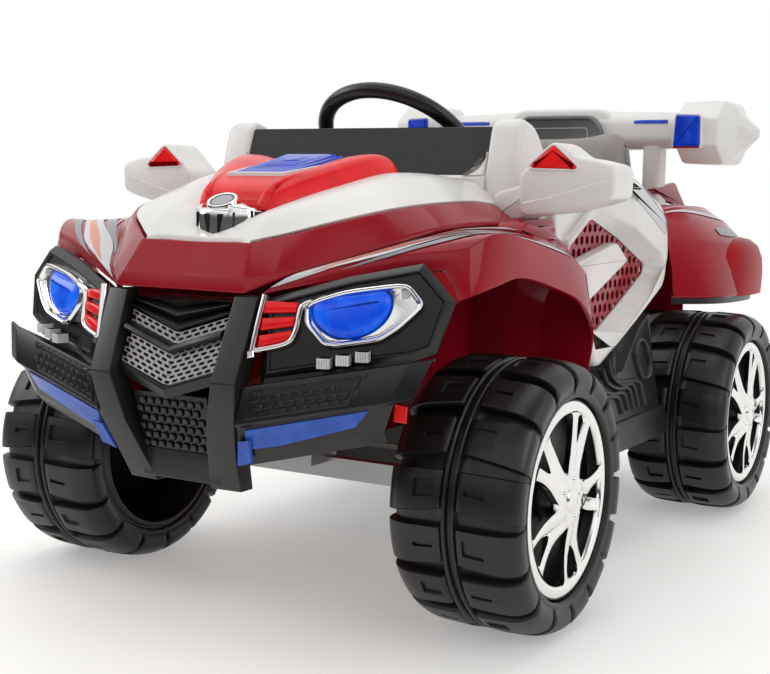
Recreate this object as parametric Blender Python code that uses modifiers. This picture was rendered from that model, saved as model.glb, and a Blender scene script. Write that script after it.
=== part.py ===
"""Electric ride-on car for a child, piece by piece, in metres, with Z up and the nose towards -Y.

The origin lies on the floor, midway between the nose and the tail. The left side of the car is +X.
Body heights are written for the wheel given here and rise with it. fore() places a point from the
front axle, middle_point() by its share of the wheelbase, and aft() from the rear axle, where what
lies behind the axle follows the length of the tail.
"""

import bmesh
import bpy
from math import cos, pi, radians, sin
from mathutils import Matrix, Vector

# Fits
GAP = 0.0003
RUNNING_GAP = 0.0010
PANEL = 0.003

# Overall
LENGTH = 1.230
NOSE_OVERHANG = 0.275
WHEELBASE = 0.750

# Wheels
TYRE_RADIUS = 0.160
TYRE_WIDTH = 0.162
FRONT_TRACK = 0.604
REAR_TRACK = 0.586
LUGS = 16
LUG_SHARE = 0.68
LUG_DEPTH = 0.010
SEAM_DEPTH = 0.006
TYRE_WALL = 0.004
RIM_RADIUS = 0.1174
RIM_RECESS = 0.014
CAP_THICKNESS = 0.006
CAP_SPOKES = 5
CAP_WINDOW_IN = 0.036
CAP_WINDOW_OUT = 0.100
CAP_POCKET_IN = 0.067
CAP_POCKET_SWING = radians(-9)
CAP_HUB_RADIUS = 0.024
HUB_TUBE_RADIUS = 0.017
HUB_TUBE_INSET = 0.052
AXLE_RADIUS = 0.006

# Steering gear
KINGPIN_SETBACK = 0.016
KINGPIN_RADIUS = 0.004
BOSS_RADIUS = 0.011
FORK_PLATE = 0.006
BEAM_HALF_HEIGHT = 0.013
STEER_ARM = 0.059
WHEEL_LOCK = radians(20)
STEERING_LOCK = radians(45)
TRACK_PIN_RADIUS = 0.003
TRACK_ROD_HALF = 0.003
CRANK_PIN_RADIUS = 0.005
CRANK_HALF = 0.004
EAR_HEIGHT = 0.014
JOINT_RADIUS = 0.011

# Steering wheel and column
RING_RADIUS = 0.110
RING_TUBE = 0.0125
RING_AHEAD = 0.241
RING_HEIGHT = 0.571
COLUMN_RAKE = radians(49)
COLUMN_RADIUS = 0.008
HUB_RADIUS = 0.030
HUB_DEPTH = 0.018
HUB_PROUD = 0.004
SPOKE_RADIUS = 0.008
SPOKE_SUNK = 0.006
HORN_RADIUS = 0.018
HORN_TRAVEL = 0.003
HORN_HEIGHT = 0.008

# Inner structure
CORE_HALF = 0.150
CORE_FRONT = -0.198
CORE_BACK = 0.190
CORE_FLOOR = 0.222
CORE_TOP = 0.386
TUB_BOTTOM = 0.120
TUB_TOP = 0.300
TUB_HALF = 0.235
TUB_REAR_HALF = 0.165
TUB_WALL = 0.004
TUB_WAIST = -0.188

# Outer body
FASCIA_DEPTH = 0.018
FASCIA_SWEEP = radians(20.6)
FASCIA_LEAN = radians(12)
FASCIA_CORNER = (0.1080, -0.2360, 0.392)
BEZEL_PROUD = 0.008
MESH_OUT = 0.0095
FRAME_DEPTH = 0.030
GLASS = 0.004
BUTTON_RADIUS = 0.011
LEVER_RADIUS = 0.005
FRAME_RIM = 0.004
HEADREST_DEPTH = 0.0117
BUMPER_DEPTH = 0.0109
WHEEL_CLEARANCE = 0.006

# The wheel and the tail that the body's own points are written for
DRAWN_RADIUS = 0.160
DRAWN_TAIL = 0.205

# Worked out from the values above
FRONT_AXLE_Y = -LENGTH / 2 + NOSE_OVERHANG
REAR_AXLE_Y = FRONT_AXLE_Y + WHEELBASE
TAIL_OVERHANG = LENGTH - NOSE_OVERHANG - WHEELBASE
TAIL_STRETCH = TAIL_OVERHANG / DRAWN_TAIL
TAIL_FACE_Y = LENGTH / 2 - BUMPER_DEPTH - GAP
TUB_TAIL_Y = TAIL_FACE_Y - PANEL - GAP
LIFT = TYRE_RADIUS - DRAWN_RADIUS
FRONT_WHEEL_X = FRONT_TRACK / 2
REAR_WHEEL_X = REAR_TRACK / 2
KINGPIN_X = FRONT_WHEEL_X - TYRE_WIDTH / 2 - KINGPIN_SETBACK
BORE_RADIUS = AXLE_RADIUS + GAP
WEB_X = TYRE_WIDTH / 2 - RIM_RECESS
ROD_Z = TYRE_RADIUS + BEAM_HALF_HEIGHT + GAP + FORK_PLATE + GAP + TRACK_ROD_HALF
CRANK = STEER_ARM * sin(WHEEL_LOCK) / sin(STEERING_LOCK)
SHAFT_Y = STEER_ARM - CRANK
CAP_RADIUS = (RIM_RADIUS + GAP) * cos(pi * LUG_SHARE / LUGS) - GAP

COLORS = {
    "red_gloss": ((0.36, 0.012, 0.025), 0.25, 0.0),
    "white_gloss": ((0.80, 0.79, 0.77), 0.3, 0.0),
    "black_plastic": ((0.02, 0.02, 0.021), 0.55, 0.0),
    "tyre_plastic": ((0.030, 0.026, 0.026), 0.5, 0.0),
    "chrome": ((0.80, 0.80, 0.81), 0.08, 1.0),
    "steel": ((0.45, 0.45, 0.46), 0.35, 1.0),
    "blue_lens": ((0.02, 0.10, 0.60), 0.1, 0.0),
    "red_lens": ((0.65, 0.02, 0.02), 0.15, 0.0),
    "dark_glass": ((0.02, 0.021, 0.022), 0.1, 0.0),
    "seat_grey": ((0.30, 0.28, 0.27), 0.5, 0.0),
    "silver_paint": ((0.50, 0.49, 0.48), 0.35, 0.3),
}


def remove_everything():
    for old in list(bpy.data.objects):
        bpy.data.objects.remove(old, do_unlink=True)


def new_collection(name):
    collection = bpy.data.collections.new(name)
    bpy.context.scene.collection.children.link(collection)
    return collection


def new_material(name):
    color, roughness, metallic = COLORS[name]
    material = bpy.data.materials.new(name)
    material.use_nodes = True
    shader = material.node_tree.nodes["Principled BSDF"]
    shader.inputs["Base Color"].default_value = (*color, 1.0)
    shader.inputs["Roughness"].default_value = roughness
    shader.inputs["Metallic"].default_value = metallic
    material.diffuse_color = (*color, 1.0)
    return material


remove_everything()
CAR = new_collection("electric_ride_on_car")
CUTTERS = new_collection("cutters")
MATERIALS = {name: new_material(name) for name in COLORS}


def fore(x, y, z):
    """A point placed from the front axle, with its height drawn for the standard wheel."""
    return Vector((x, FRONT_AXLE_Y + y, z + LIFT))


def aft(x, y, z):
    """A point placed from the rear axle: behind it, places stretch with the tail."""
    if y > 0:
        y *= TAIL_STRETCH
    return Vector((x, REAR_AXLE_Y + y, z + LIFT))


def add_piece(name, mesh, material):
    mesh.materials.clear()
    mesh.materials.append(MATERIALS[material])
    piece = bpy.data.objects.new(name, mesh)
    CAR.objects.link(piece)
    return piece


def mesh_from(bm, name):
    mesh = bpy.data.meshes.new(name)
    bm.normal_update()
    bm.to_mesh(mesh)
    bm.free()
    return mesh


def evaluated_mesh(piece):
    """The piece's mesh with its modifiers worked in."""
    bpy.context.view_layer.update()
    graph = bpy.context.evaluated_depsgraph_get()
    return bpy.data.meshes.new_from_object(piece.evaluated_get(graph))


def settle(piece):
    """Replace the piece's mesh by the evaluated one, clean of loose doubles."""
    mesh = evaluated_mesh(piece)
    piece.modifiers.clear()
    bm = bmesh.new()
    bm.from_mesh(mesh)
    bmesh.ops.remove_doubles(bm, verts=bm.verts, dist=0.00001)
    bm.to_mesh(mesh)
    bm.free()
    piece.data = mesh
    return piece


def combine(piece, others, operation):
    """Join the others to the piece, or cut them from it, and remove them."""
    for other in others:
        if operation == "DIFFERENCE":
            CUTTERS.objects.link(other)
            CAR.objects.unlink(other)
            other.hide_render = True
            other.display_type = "WIRE"
        step = piece.modifiers.new("combine", "BOOLEAN")
        step.operation = operation
        step.solver = "EXACT"
        step.object = other
        settle(piece)
        bpy.data.objects.remove(other, do_unlink=True)
    return piece


def unite(piece, *others):
    return combine(piece, others, "UNION")


def cut(piece, *others):
    return combine(piece, others, "DIFFERENCE")


def box(name, low, high, material="black_plastic"):
    low, high = Vector(low), Vector(high)
    size = high - low
    bm = bmesh.new()
    place = Matrix.Translation((low + high) / 2) @ Matrix.Diagonal((*size, 1.0))
    bmesh.ops.create_cube(bm, size=1.0, matrix=place)
    return add_piece(name, mesh_from(bm, name), material)


def rod(name, start, end, radius, material="steel", sides=16):
    """A round bar between two points."""
    start, end = Vector(start), Vector(end)
    along = end - start
    turn = along.to_track_quat("Z", "X").to_matrix().to_4x4()
    bm = bmesh.new()
    bmesh.ops.create_cone(bm, cap_ends=True, segments=sides, radius1=radius, radius2=radius,
                          depth=along.length, matrix=Matrix.Translation((start + end) / 2) @ turn)
    return add_piece(name, mesh_from(bm, name), material)


def bevel(piece, width, angle=radians(40)):
    edge = piece.modifiers.new("edges", "BEVEL")
    edge.width = width
    edge.segments = 1
    edge.limit_method = "ANGLE"
    edge.angle_limit = angle
    return settle(piece)


def plate(name, outline, low, high, plane="YZ", material="black_plastic", holes=()):
    """A flat outline with its holes, drawn as a 2D curve and given a thickness.

    The outline's numbers are world Y and Z for the plane YZ, X and Z for XZ, and X and Y for XY.
    """
    curve = bpy.data.curves.new(name, "CURVE")
    curve.dimensions = "2D"
    curve.fill_mode = "BOTH"
    curve.extrude = (high - low) / 2
    for ring in (outline, *holes):
        spline = curve.splines.new("POLY")
        spline.points.add(len(ring) - 1)
        for point, (a, b) in zip(spline.points, ring):
            point.co = (a, b, 0.0, 1.0)
        spline.use_cyclic_u = True
    middle = (low + high) / 2
    turns = {
        "YZ": Matrix(((0, 0, 1, middle), (1, 0, 0, 0), (0, 1, 0, 0), (0, 0, 0, 1))),
        "XZ": Matrix(((1, 0, 0, 0), (0, 0, -1, middle), (0, 1, 0, 0), (0, 0, 0, 1))),
        "XY": Matrix.Translation((0, 0, middle)),
    }
    return flat_curve_piece(name, curve, turns[plane], material)


def flat_curve_piece(name, curve, place, material):
    """Turn a filled curve into a closed mesh that stands at the given place."""
    shape = bpy.data.objects.new(name, curve)
    CAR.objects.link(shape)
    mesh = evaluated_mesh(shape)
    bpy.data.objects.remove(shape, do_unlink=True)
    bpy.data.curves.remove(curve)
    bm = bmesh.new()
    bm.from_mesh(mesh)
    bmesh.ops.remove_doubles(bm, verts=bm.verts, dist=0.00001)
    bmesh.ops.transform(bm, matrix=place, verts=bm.verts)
    bmesh.ops.recalc_face_normals(bm, faces=bm.faces)
    bm.to_mesh(mesh)
    bm.free()
    return add_piece(name, mesh, material)


def add_cell(bm, a, b, c, d):
    """Two triangles with a set diagonal, so that pieces drawn on the same points lie flush."""
    bm.faces.new((a, b, c))
    bm.faces.new((a, c, d))


def sheet(name, rows, thickness, material, mirror=False, offset=-1.0):
    """A moulded panel: a surface lofted through rows of points, thickened to one side."""
    bm = bmesh.new()
    grid = [[bm.verts.new(point) for point in row] for row in rows]
    for upper, lower in zip(grid, grid[1:]):
        for a, b, c, d in zip(upper, upper[1:], lower[1:], lower):
            add_cell(bm, a, b, c, d)
    piece = add_piece(name, mesh_from(bm, name), material)
    if mirror:
        other_half = piece.modifiers.new("other_half", "MIRROR")
        other_half.use_clip = True
        other_half.merge_threshold = 0.0001
    wall = piece.modifiers.new("wall", "SOLIDIFY")
    wall.thickness = thickness
    wall.offset = offset
    wall.use_even_offset = False
    return settle(piece)


def loft(name, sections, material):
    """A solid through closed sections that have the same number of points."""
    bm = bmesh.new()
    rings = [[bm.verts.new(point) for point in section] for section in sections]
    for first, second in zip(rings, rings[1:]):
        count = len(first)
        for i in range(count):
            j = (i + 1) % count
            add_cell(bm, first[i], first[j], second[j], second[i])
    bm.faces.new(rings[0])
    bm.faces.new(rings[-1])
    bmesh.ops.recalc_face_normals(bm, faces=bm.faces)
    return add_piece(name, mesh_from(bm, name), material)


def mirrored(piece, name):
    """The same piece for the other side of the car."""
    mesh = piece.data.copy()
    bm = bmesh.new()
    bm.from_mesh(mesh)
    bmesh.ops.scale(bm, vec=(-1.0, 1.0, 1.0), verts=bm.verts)
    bmesh.ops.reverse_faces(bm, faces=bm.faces)
    bm.to_mesh(mesh)
    bm.free()
    other = bpy.data.objects.new(name, mesh)
    CAR.objects.link(other)
    return other


def pivot_at(piece, point):
    """Put the piece's origin on its joint's axis without moving its shape."""
    piece.data.transform(Matrix.Translation(-Vector(point)))
    piece.location = point
    return piece


def moved_copy(piece, name, location, flipped=False):
    """A second piece on the same mesh, or on its mirror image."""
    if flipped:
        other = mirrored(piece, name)
    else:
        other = bpy.data.objects.new(name, piece.data)
        CAR.objects.link(other)
    other.location = location
    return other


def tyre_profile():
    """Points (across, radius, lug share) round the tyre's section, outer face towards +X."""
    half = TYRE_WIDTH / 2
    tread = TYRE_RADIUS
    inside = tread - SEAM_DEPTH - TYRE_WALL
    shoulder = half - 0.016
    return [
        (-half, RIM_RADIUS + 0.012, 0.3),
        (-shoulder, tread - 0.003, 1.0),
        (-0.006, tread, 1.0),
        (0.0, tread - SEAM_DEPTH, 0.0),
        (0.006, tread, 1.0),
        (shoulder, tread - 0.003, 1.0),
        (half, RIM_RADIUS + 0.012, 0.3),
        (half - 0.004, RIM_RADIUS + GAP, 0.0),
        (WEB_X, RIM_RADIUS + GAP, 0.0),
        (WEB_X, BORE_RADIUS, 0.0),
        (WEB_X - HUB_TUBE_INSET, BORE_RADIUS, 0.0),
        (WEB_X - HUB_TUBE_INSET, HUB_TUBE_RADIUS, 0.0),
        (WEB_X - TYRE_WALL, HUB_TUBE_RADIUS, 0.0),
        (WEB_X - TYRE_WALL, inside, 1.0),
        (-half + 0.006, inside - 0.022, 0.3),
    ]


def tyre_mesh_piece(name):
    """A wheel: tread, outer web and hub tube in one moulding, centred on its own axle."""
    pitch = 2 * pi / LUGS
    flat = 1 / cos(pitch * LUG_SHARE / 2)
    bm = bmesh.new()
    rings = []
    for lug in range(LUGS):
        for share, on_lug in ((-LUG_SHARE / 2, 1), (LUG_SHARE / 2, 1), (0.5, 0)):
            angle = -pi / 2 + (lug + share) * pitch
            ring = []
            for across, radius, depth in tyre_profile():
                lowered = radius - (0 if on_lug else depth * LUG_DEPTH)
                reach = lowered * flat if on_lug and depth == 1.0 else lowered
                ring.append(bm.verts.new((across, reach * cos(angle), reach * sin(angle))))
            rings.append(ring)
    for first, second in zip(rings, rings[1:] + rings[:1]):
        for i in range(len(first)):
            j = (i + 1) % len(first)
            bm.faces.new((first[i], first[j], second[j], second[i]))
    bmesh.ops.recalc_face_normals(bm, faces=bm.faces)
    return add_piece(name, mesh_from(bm, name), "tyre_plastic")


def circle(radius, sides):
    angles = [2 * pi * i / sides for i in range(sides)]
    return [(radius * cos(angle), radius * sin(angle)) for angle in angles]


def cap_windows():
    """Five wide windows of the hub cap, and the pocket in the spoke behind each of them."""
    outer = CAP_WINDOW_OUT
    bend = (CAP_WINDOW_IN + CAP_WINDOW_OUT) / 2 - 0.008
    window = ((outer, 20), (outer, -20), (bend, -20), (CAP_WINDOW_IN, -4), (CAP_WINDOW_IN, 14))
    pocket = ((outer, -20), (outer, -34), (CAP_POCKET_IN, -31), (CAP_POCKET_IN, -24))
    holes = []
    for index in range(CAP_SPOKES):
        turn = 2 * pi * index / CAP_SPOKES
        for corners, swing in ((window, 0.0), (pocket, CAP_POCKET_SWING)):
            places = [(radius, turn + radians(angle) + swing) for radius, angle in corners]
            holes.append([(radius * cos(angle), radius * sin(angle)) for radius, angle in places])
    return holes


def hub_cap_piece(name):
    low = WEB_X + GAP
    cap = plate(name, circle(CAP_RADIUS, 40), low, low + CAP_THICKNESS, "YZ", "chrome", cap_windows())
    boss = rod("boss", (low + CAP_THICKNESS / 2, 0, 0), (TYRE_WIDTH / 2, 0, 0), CAP_HUB_RADIUS, "chrome", 12)
    return unite(cap, boss)


def wheels():
    """Four wheels on their axles, each a tyre and a chromed cap that turn together."""
    tyre = tyre_mesh_piece("wheel_front_left")
    cap = hub_cap_piece("hub_cap_front_left")
    front = Vector((FRONT_WHEEL_X, FRONT_AXLE_Y, TYRE_RADIUS))
    back = Vector((REAR_WHEEL_X, REAR_AXLE_Y, TYRE_RADIUS))
    flip = Vector((-1.0, 1.0, 1.0))
    for piece, word in ((tyre, "wheel"), (cap, "hub_cap")):
        piece.location = front
        moved_copy(piece, f"{word}_front_right", front * flip, flipped=True)
        moved_copy(piece, f"{word}_rear_left", back)
        moved_copy(piece, f"{word}_rear_right", back * flip, flipped=True)


def front_axle_beam():
    """The steel beam with a kingpin at each end, and the block that carries the body on it."""
    y = FRONT_AXLE_Y
    z = TYRE_RADIUS
    low, high = z - BEAM_HALF_HEIGHT, z + BEAM_HALF_HEIGHT
    beam = box("front_axle_beam", (-KINGPIN_X, y - 0.008, low), (KINGPIN_X, y + 0.008, high), "steel")
    floor = CORE_FLOOR + LIFT - GAP
    block = box("block", (-0.05, y - 0.045, high - 0.006), (0.05, y + 0.012, floor), "steel")
    unite(beam, block)
    for side in (-1, 1):
        x = side * KINGPIN_X
        unite(beam, rod("boss", (x, y, low), (x, y, high), BOSS_RADIUS, "steel", 12))
        reach = BEAM_HALF_HEIGHT + FORK_PLATE
        unite(beam, rod("kingpin", (x, y, z - reach), (x, y, z + reach), KINGPIN_RADIUS, "steel", 10))
    return beam


def knuckles():
    """The two forks that turn on the kingpins and carry the front wheels' stub axles."""
    x, y, z = KINGPIN_X, FRONT_AXLE_Y, TYRE_RADIUS
    inner = BEAM_HALF_HEIGHT + GAP
    outer = inner + FORK_PLATE
    upright = x + BOSS_RADIUS + RUNNING_GAP
    back = x + BOSS_RADIUS + 0.012
    fork = box("knuckle_left", (upright, y - 0.012, z - outer), (back, y + 0.012, z + outer), "steel")
    top = box("top", (x - 0.009, y - 0.011, z + inner), (back - 0.002, y + 0.011, z + outer), "steel")
    bottom = box("bottom", (x - 0.009, y - 0.010, z - outer), (back - 0.002, y + 0.010, z - inner), "steel")
    arm = box("arm", (x - 0.006, y, z + inner), (x + 0.006, y + STEER_ARM + 0.008, z + outer), "steel")
    unite(fork, top, bottom, arm)
    hole = KINGPIN_RADIUS + GAP
    cut(fork, rod("bore", (x, y, z - outer - 0.01), (x, y, z + outer + 0.01), hole, "steel", 10))
    pin_top = ROD_Z + TRACK_ROD_HALF + 0.002
    pin_y = y + STEER_ARM
    pin = rod("pin", (x, pin_y, z + outer - 0.003), (x, pin_y, pin_top), TRACK_PIN_RADIUS, "steel", 10)
    stub_end = FRONT_WHEEL_X + WEB_X
    stub = rod("stub", (back - 0.004, y, z), (stub_end, y, z), AXLE_RADIUS, "steel", 16)
    unite(fork, pin, stub)
    other = mirrored(fork, "knuckle_right")
    pivot_at(fork, (x, y, z))
    pivot_at(other, (-x, y, z))


def tie_rod():
    """The bar between the two steering arms, with a slot at each end and a fork for the crank."""
    y = FRONT_AXLE_Y + STEER_ARM
    low, high = ROD_Z - TRACK_ROD_HALF, ROD_Z + TRACK_ROD_HALF
    end = KINGPIN_X + 0.009
    bar = box("tie_rod", (-end, y - 0.004, low), (end, y + 0.004, high), "steel")
    wide = TRACK_PIN_RADIUS + RUNNING_GAP
    slack = STEER_ARM * (1 - cos(WHEEL_LOCK)) + wide
    for side in (-1, 1):
        x = side * KINGPIN_X
        unite(bar, box("eye", (x - 0.009, y - 0.012, low), (x + 0.009, y + 0.009, high), "steel"))
        slot_low, slot_high = (x - wide, y - slack, low - 0.01), (x + wide, y + wide, high + 0.01)
        cut(bar, box("slot", slot_low, slot_high, "steel"))
    inside = CRANK_PIN_RADIUS + RUNNING_GAP
    swing = CRANK * (1 - cos(STEERING_LOCK)) + CRANK_PIN_RADIUS
    for side in (-1, 1):
        near, far = sorted((side * inside, side * (inside + 0.004)))
        ear_top = (far, y + CRANK_PIN_RADIUS, high + EAR_HEIGHT)
        unite(bar, box("ear", (near, y - swing, low), ear_top, "steel"))
    return bar


def ball(name, place, radius, material):
    """A sphere whose poles lie along the Z axis of the matrix."""
    bm = bmesh.new()
    bmesh.ops.create_uvsphere(bm, u_segments=12, v_segments=8, radius=radius, matrix=place)
    return add_piece(name, mesh_from(bm, name), material)


def column_axis():
    """The middle of the steering wheel, and the direction from it up to the driver."""
    return fore(0, RING_AHEAD, RING_HEIGHT), Vector((0, cos(COLUMN_RAKE), sin(COLUMN_RAKE)))


def column_joint():
    """The middle of the universal joint: where the column's axis passes over the upright shaft."""
    center, axis = column_axis()
    return center - axis * ((center.y - FRONT_AXLE_Y - SHAFT_Y) / axis.y)


def steering_shaft():
    """The upright shaft under the universal joint, with the crank that moves the tie rod."""
    joint = column_joint()
    shaft = ball("steering_shaft", Matrix.Translation(joint), JOINT_RADIUS, "steel")
    crank_z = ROD_Z + TRACK_ROD_HALF + EAR_HEIGHT + GAP + CRANK_HALF
    foot = Vector((0, joint.y, crank_z - CRANK_HALF))
    unite(shaft, rod("stem", foot, joint, COLUMN_RADIUS, "steel", 12))
    tip = Vector((0, joint.y + CRANK, crank_z))
    half = Vector((CRANK_HALF, CRANK_HALF, CRANK_HALF))
    unite(shaft, box("crank", foot + Vector((-CRANK_HALF, 0, 0)), tip + half))
    pin_low = Vector((0, tip.y, ROD_Z + TRACK_ROD_HALF + RUNNING_GAP))
    unite(shaft, rod("pin", pin_low, tip, CRANK_PIN_RADIUS, "steel", 9))
    pivot_at(shaft, joint)


def steering_ring(center, across, up_face, axis):
    """The thick round rim of the steering wheel."""
    steps, sides = 32, 8
    bm = bmesh.new()
    rings = []
    for i in range(steps):
        around = 2 * pi * i / steps
        out = across * cos(around) + up_face * sin(around)
        ring = []
        for k in range(sides):
            turn = 2 * pi * k / sides
            reach = RING_RADIUS + RING_TUBE * cos(turn)
            ring.append(bm.verts.new(center + out * reach + axis * RING_TUBE * sin(turn)))
        rings.append(ring)
    for first, second in zip(rings, rings[1:] + rings[:1]):
        for k in range(sides):
            m = (k + 1) % sides
            bm.faces.new((first[k], second[k], second[m], first[m]))
    bmesh.ops.recalc_face_normals(bm, faces=bm.faces)
    return add_piece("steering_wheel", mesh_from(bm, "steering_wheel"), "black_plastic")


def steering():
    """The wheel, its column down to the universal joint, and the horn button in the hub."""
    center, axis = column_axis()
    across = Vector((1, 0, 0))
    up_face = Vector((0, -sin(COLUMN_RAKE), cos(COLUMN_RAKE)))
    top = center - axis * HUB_DEPTH
    foot = column_joint() + axis * (JOINT_RADIUS + GAP)
    column = rod("steering_column", foot, top - axis * GAP, COLUMN_RADIUS, "steel", 12)
    wheel = steering_ring(center, across, up_face, axis)
    hub = rod("hub", top, center + axis * HUB_PROUD, HUB_RADIUS, "black_plastic", 16)
    for degrees in (0, 180, 270):
        out = across * cos(radians(degrees)) + up_face * sin(radians(degrees))
        start = center - axis * SPOKE_SUNK
        end = center + out * RING_RADIUS - axis * SPOKE_SUNK / 3
        unite(hub, rod("spoke", start, end, SPOKE_RADIUS, "black_plastic", 8))
    unite(wheel, hub)
    seat = HORN_RADIUS + RUNNING_GAP / 2
    floor = center + axis * (HUB_PROUD - HORN_TRAVEL - 0.004)
    cut(wheel, rod("seat", floor, center + axis * 0.02, seat, "black_plastic", 16))
    horn_low = floor + axis * (HORN_TRAVEL + GAP)
    horn = rod("horn_button", horn_low, horn_low + axis * HORN_HEIGHT, HORN_RADIUS, "red_lens", 16)
    for piece in (wheel, column, horn):
        pivot_at(piece, center)


def front_body():
    """The red inner body of the nose, open at the top: it carries the hood, the fenders and the lamps."""
    low, high = fore(-CORE_HALF, CORE_FRONT, CORE_FLOOR), fore(CORE_HALF, CORE_BACK, CORE_TOP)
    core = box("front_body", low, high, "red_gloss")
    wall = Vector((PANEL, PANEL, PANEL))
    inside_low, inside_high = low + wall, high - wall
    inside_high.z = high.z + 0.02
    cut(core, box("inside", inside_low, inside_high, "red_gloss"))
    joint = column_joint()
    reach = Vector((0, 0, 0.01))
    floor = Vector((0, joint.y, low.z))
    cut(core, rod("shaft_hole", floor - reach, floor + reach, COLUMN_RADIUS + 2 * GAP, "red_gloss", 12))
    return core


def tub_outline(inset, front):
    """The tub seen from above: wide between the wheels, narrow between the rear wheels."""
    wide, narrow = TUB_HALF - inset, TUB_REAR_HALF - inset
    y0 = FRONT_AXLE_Y + front + inset
    y1 = REAR_AXLE_Y + TUB_WAIST - inset
    y2 = TUB_TAIL_Y - inset
    return [(wide, y0), (wide, y1), (narrow, y1), (narrow, y2),
            (-narrow, y2), (-narrow, y1), (-wide, y1), (-wide, y0)]


def chassis_tub():
    """The black floor tub with the footwell in front and the battery bay under the seat."""
    front = CORE_BACK + GAP
    low, high = TUB_BOTTOM + LIFT, TUB_TOP + LIFT
    tub = plate("chassis_tub", tub_outline(0.0, front), low, high, "XY", "black_plastic")
    cut(tub, plate("inside", tub_outline(TUB_WALL, front), low + TUB_WALL, high + 0.02, "XY"))
    middle = Vector((0, REAR_AXLE_Y, TYRE_RADIUS))
    reach = Vector((TUB_REAR_HALF + 0.02, 0, 0))
    cut(tub, rod("axle_hole", middle - reach, middle + reach, AXLE_RADIUS + GAP, "steel", 16))
    return tub


def rear_drive():
    """The rear axle, the two gearboxes beside the wheels, and the battery."""
    y, z = REAR_AXLE_Y, TYRE_RADIUS
    end = REAR_WHEEL_X + WEB_X
    rod("rear_axle", (-end, y, z), (end, y, z), AXLE_RADIUS, "steel", 16)
    inner = TUB_REAR_HALF + GAP
    outer = REAR_WHEEL_X - TYRE_WIDTH / 2 - 0.004
    left = box("gearbox_left", (inner, y - 0.035, z - 0.030), (outer, y + 0.030, z + 0.030), "black_plastic")
    motor = rod("motor", (inner, y + 0.055, z), (outer - 0.006, y + 0.055, z), 0.027, "steel", 12)
    unite(left, motor)
    hole = AXLE_RADIUS + GAP
    cut(left, rod("bore", (inner - 0.01, y, z), (outer + 0.01, y, z), hole, "steel", 16))
    mirrored(left, "gearbox_right")
    floor = TUB_BOTTOM + LIFT + TUB_WALL + GAP
    bay = REAR_AXLE_Y - 0.14
    box("battery", (-0.075, bay - 0.065, floor), (0.075, bay + 0.005, floor + 0.095), "black_plastic")


# Points of the white panel, from the nose back: along its middle, and along the crown at its side
HOOD_MIDDLE = [(0, -.207, .449), (0, -.195, .450), (0, -.165, .455), (0, -.110, .468),
               (0, -.050, .487), (0, .010, .505), (0, .060, .512), (0, .125, .512)]
HOOD_CROWN = [(0, -.207, .449), (.060, -.200, .452), (.070, -.165, .478), (.088, -.110, .497),
              (.112, -.050, .514), (.132, .010, .5265), (.150, .060, .527), (.168, .125, .520)]
HOOD_SKIN_TOP = PANEL + GAP


def hood_lines():
    """Four lines round the red rim, each from the middle of the nose back along the left side."""
    top = [(0, -.207, .449), (.078, -.209, .450), (.109, -.182, .459), (.152, -.143, .474),
           (.188, -.080, .488), (.212, .000, .4955), (.218, .080, .4955), (.222, .172, .484)]
    lip = [(0, -.234, .411), (.088, -.236, .412), (.124, -.208, .420), (.172, -.146, .440),
           (.212, -.098, .458), (.236, -.048, .470), (.249, .050, .4735), (.250, .172, .467)]
    edge = [(0, -.238, .396), (.091, -.240, .396), (.128, -.211, .405), (.176, -.149, .425),
            (.216, -.101, .443), (.240, -.048, .455), (.253, .050, .4595), (.254, .172, .452)]
    flange = [(x * .93, y + (.014 if i < 2 else .006), z - .004) for i, (x, y, z) in enumerate(top)]
    return flange, top, lip, edge


def hood():
    """The red rim and, inside it, the white panel that rises to the windshield."""
    lines = hood_lines()
    rim_rows = [[fore(*point) for point in line] for line in lines]
    sheet("hood_rim", rim_rows, PANEL, "red_gloss", mirror=True, offset=1.0)
    lift = HOOD_SKIN_TOP
    rows = []
    for middle, crown, (x, y, z) in list(zip(HOOD_MIDDLE, HOOD_CROWN, lines[1]))[1:]:
        rows.append([fore(*middle), fore(*crown), fore(x - .004, y + .003, z + lift - .002)])
    rows = [[point + Vector((0, 0, lift)) for point in row] for row in rows]
    sheet("hood_panel", rows, PANEL, "white_gloss", mirror=True, offset=-1.0)
    seat = Vector((0, 0, GAP))
    return [[point + seat for point in row] for row in rows]


def clear_of_hood(piece, seat_rows):
    """Cut away what reaches below the white panel's top, so that the piece sits on it."""
    past_middle = Vector((-PANEL, 0, 0))
    down = Vector((0, 0, -0.05))
    sections = []
    for middle, crown, rim in seat_rows:
        inner = middle + past_middle
        sections.append([inner, crown, rim, rim + down, inner + down])
    behind = Vector((0, 2 * RUNNING_GAP, 0))
    sections.append([point + behind for point in sections[-1]])
    below = loft("below", sections, "white_gloss")
    other = mirrored(below, "below_right")
    return cut(piece, below, other)


def between(pairs, value):
    """Read a straight-line table of (position, result) pairs."""
    for (x0, y0), (x1, y1) in zip(pairs, pairs[1:]):
        if value <= x1:
            break
    return y0 + (y1 - y0) * (value - x0) / (x1 - x0)


def on_hood(x, y, rise):
    """A point above the white hood panel, inside its crown line, behind the first two rows."""
    low = between([(place, height) for _, place, height in HOOD_MIDDLE[2:]], y)
    crown_x = between([(place, half) for half, place, _ in HOOD_CROWN[2:]], y)
    crown_z = between([(place, height) for _, place, height in HOOD_CROWN[2:]], y)
    share = abs(x) / crown_x
    return fore(x, y, low + (crown_z - low) * share + HOOD_SKIN_TOP + rise)


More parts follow.
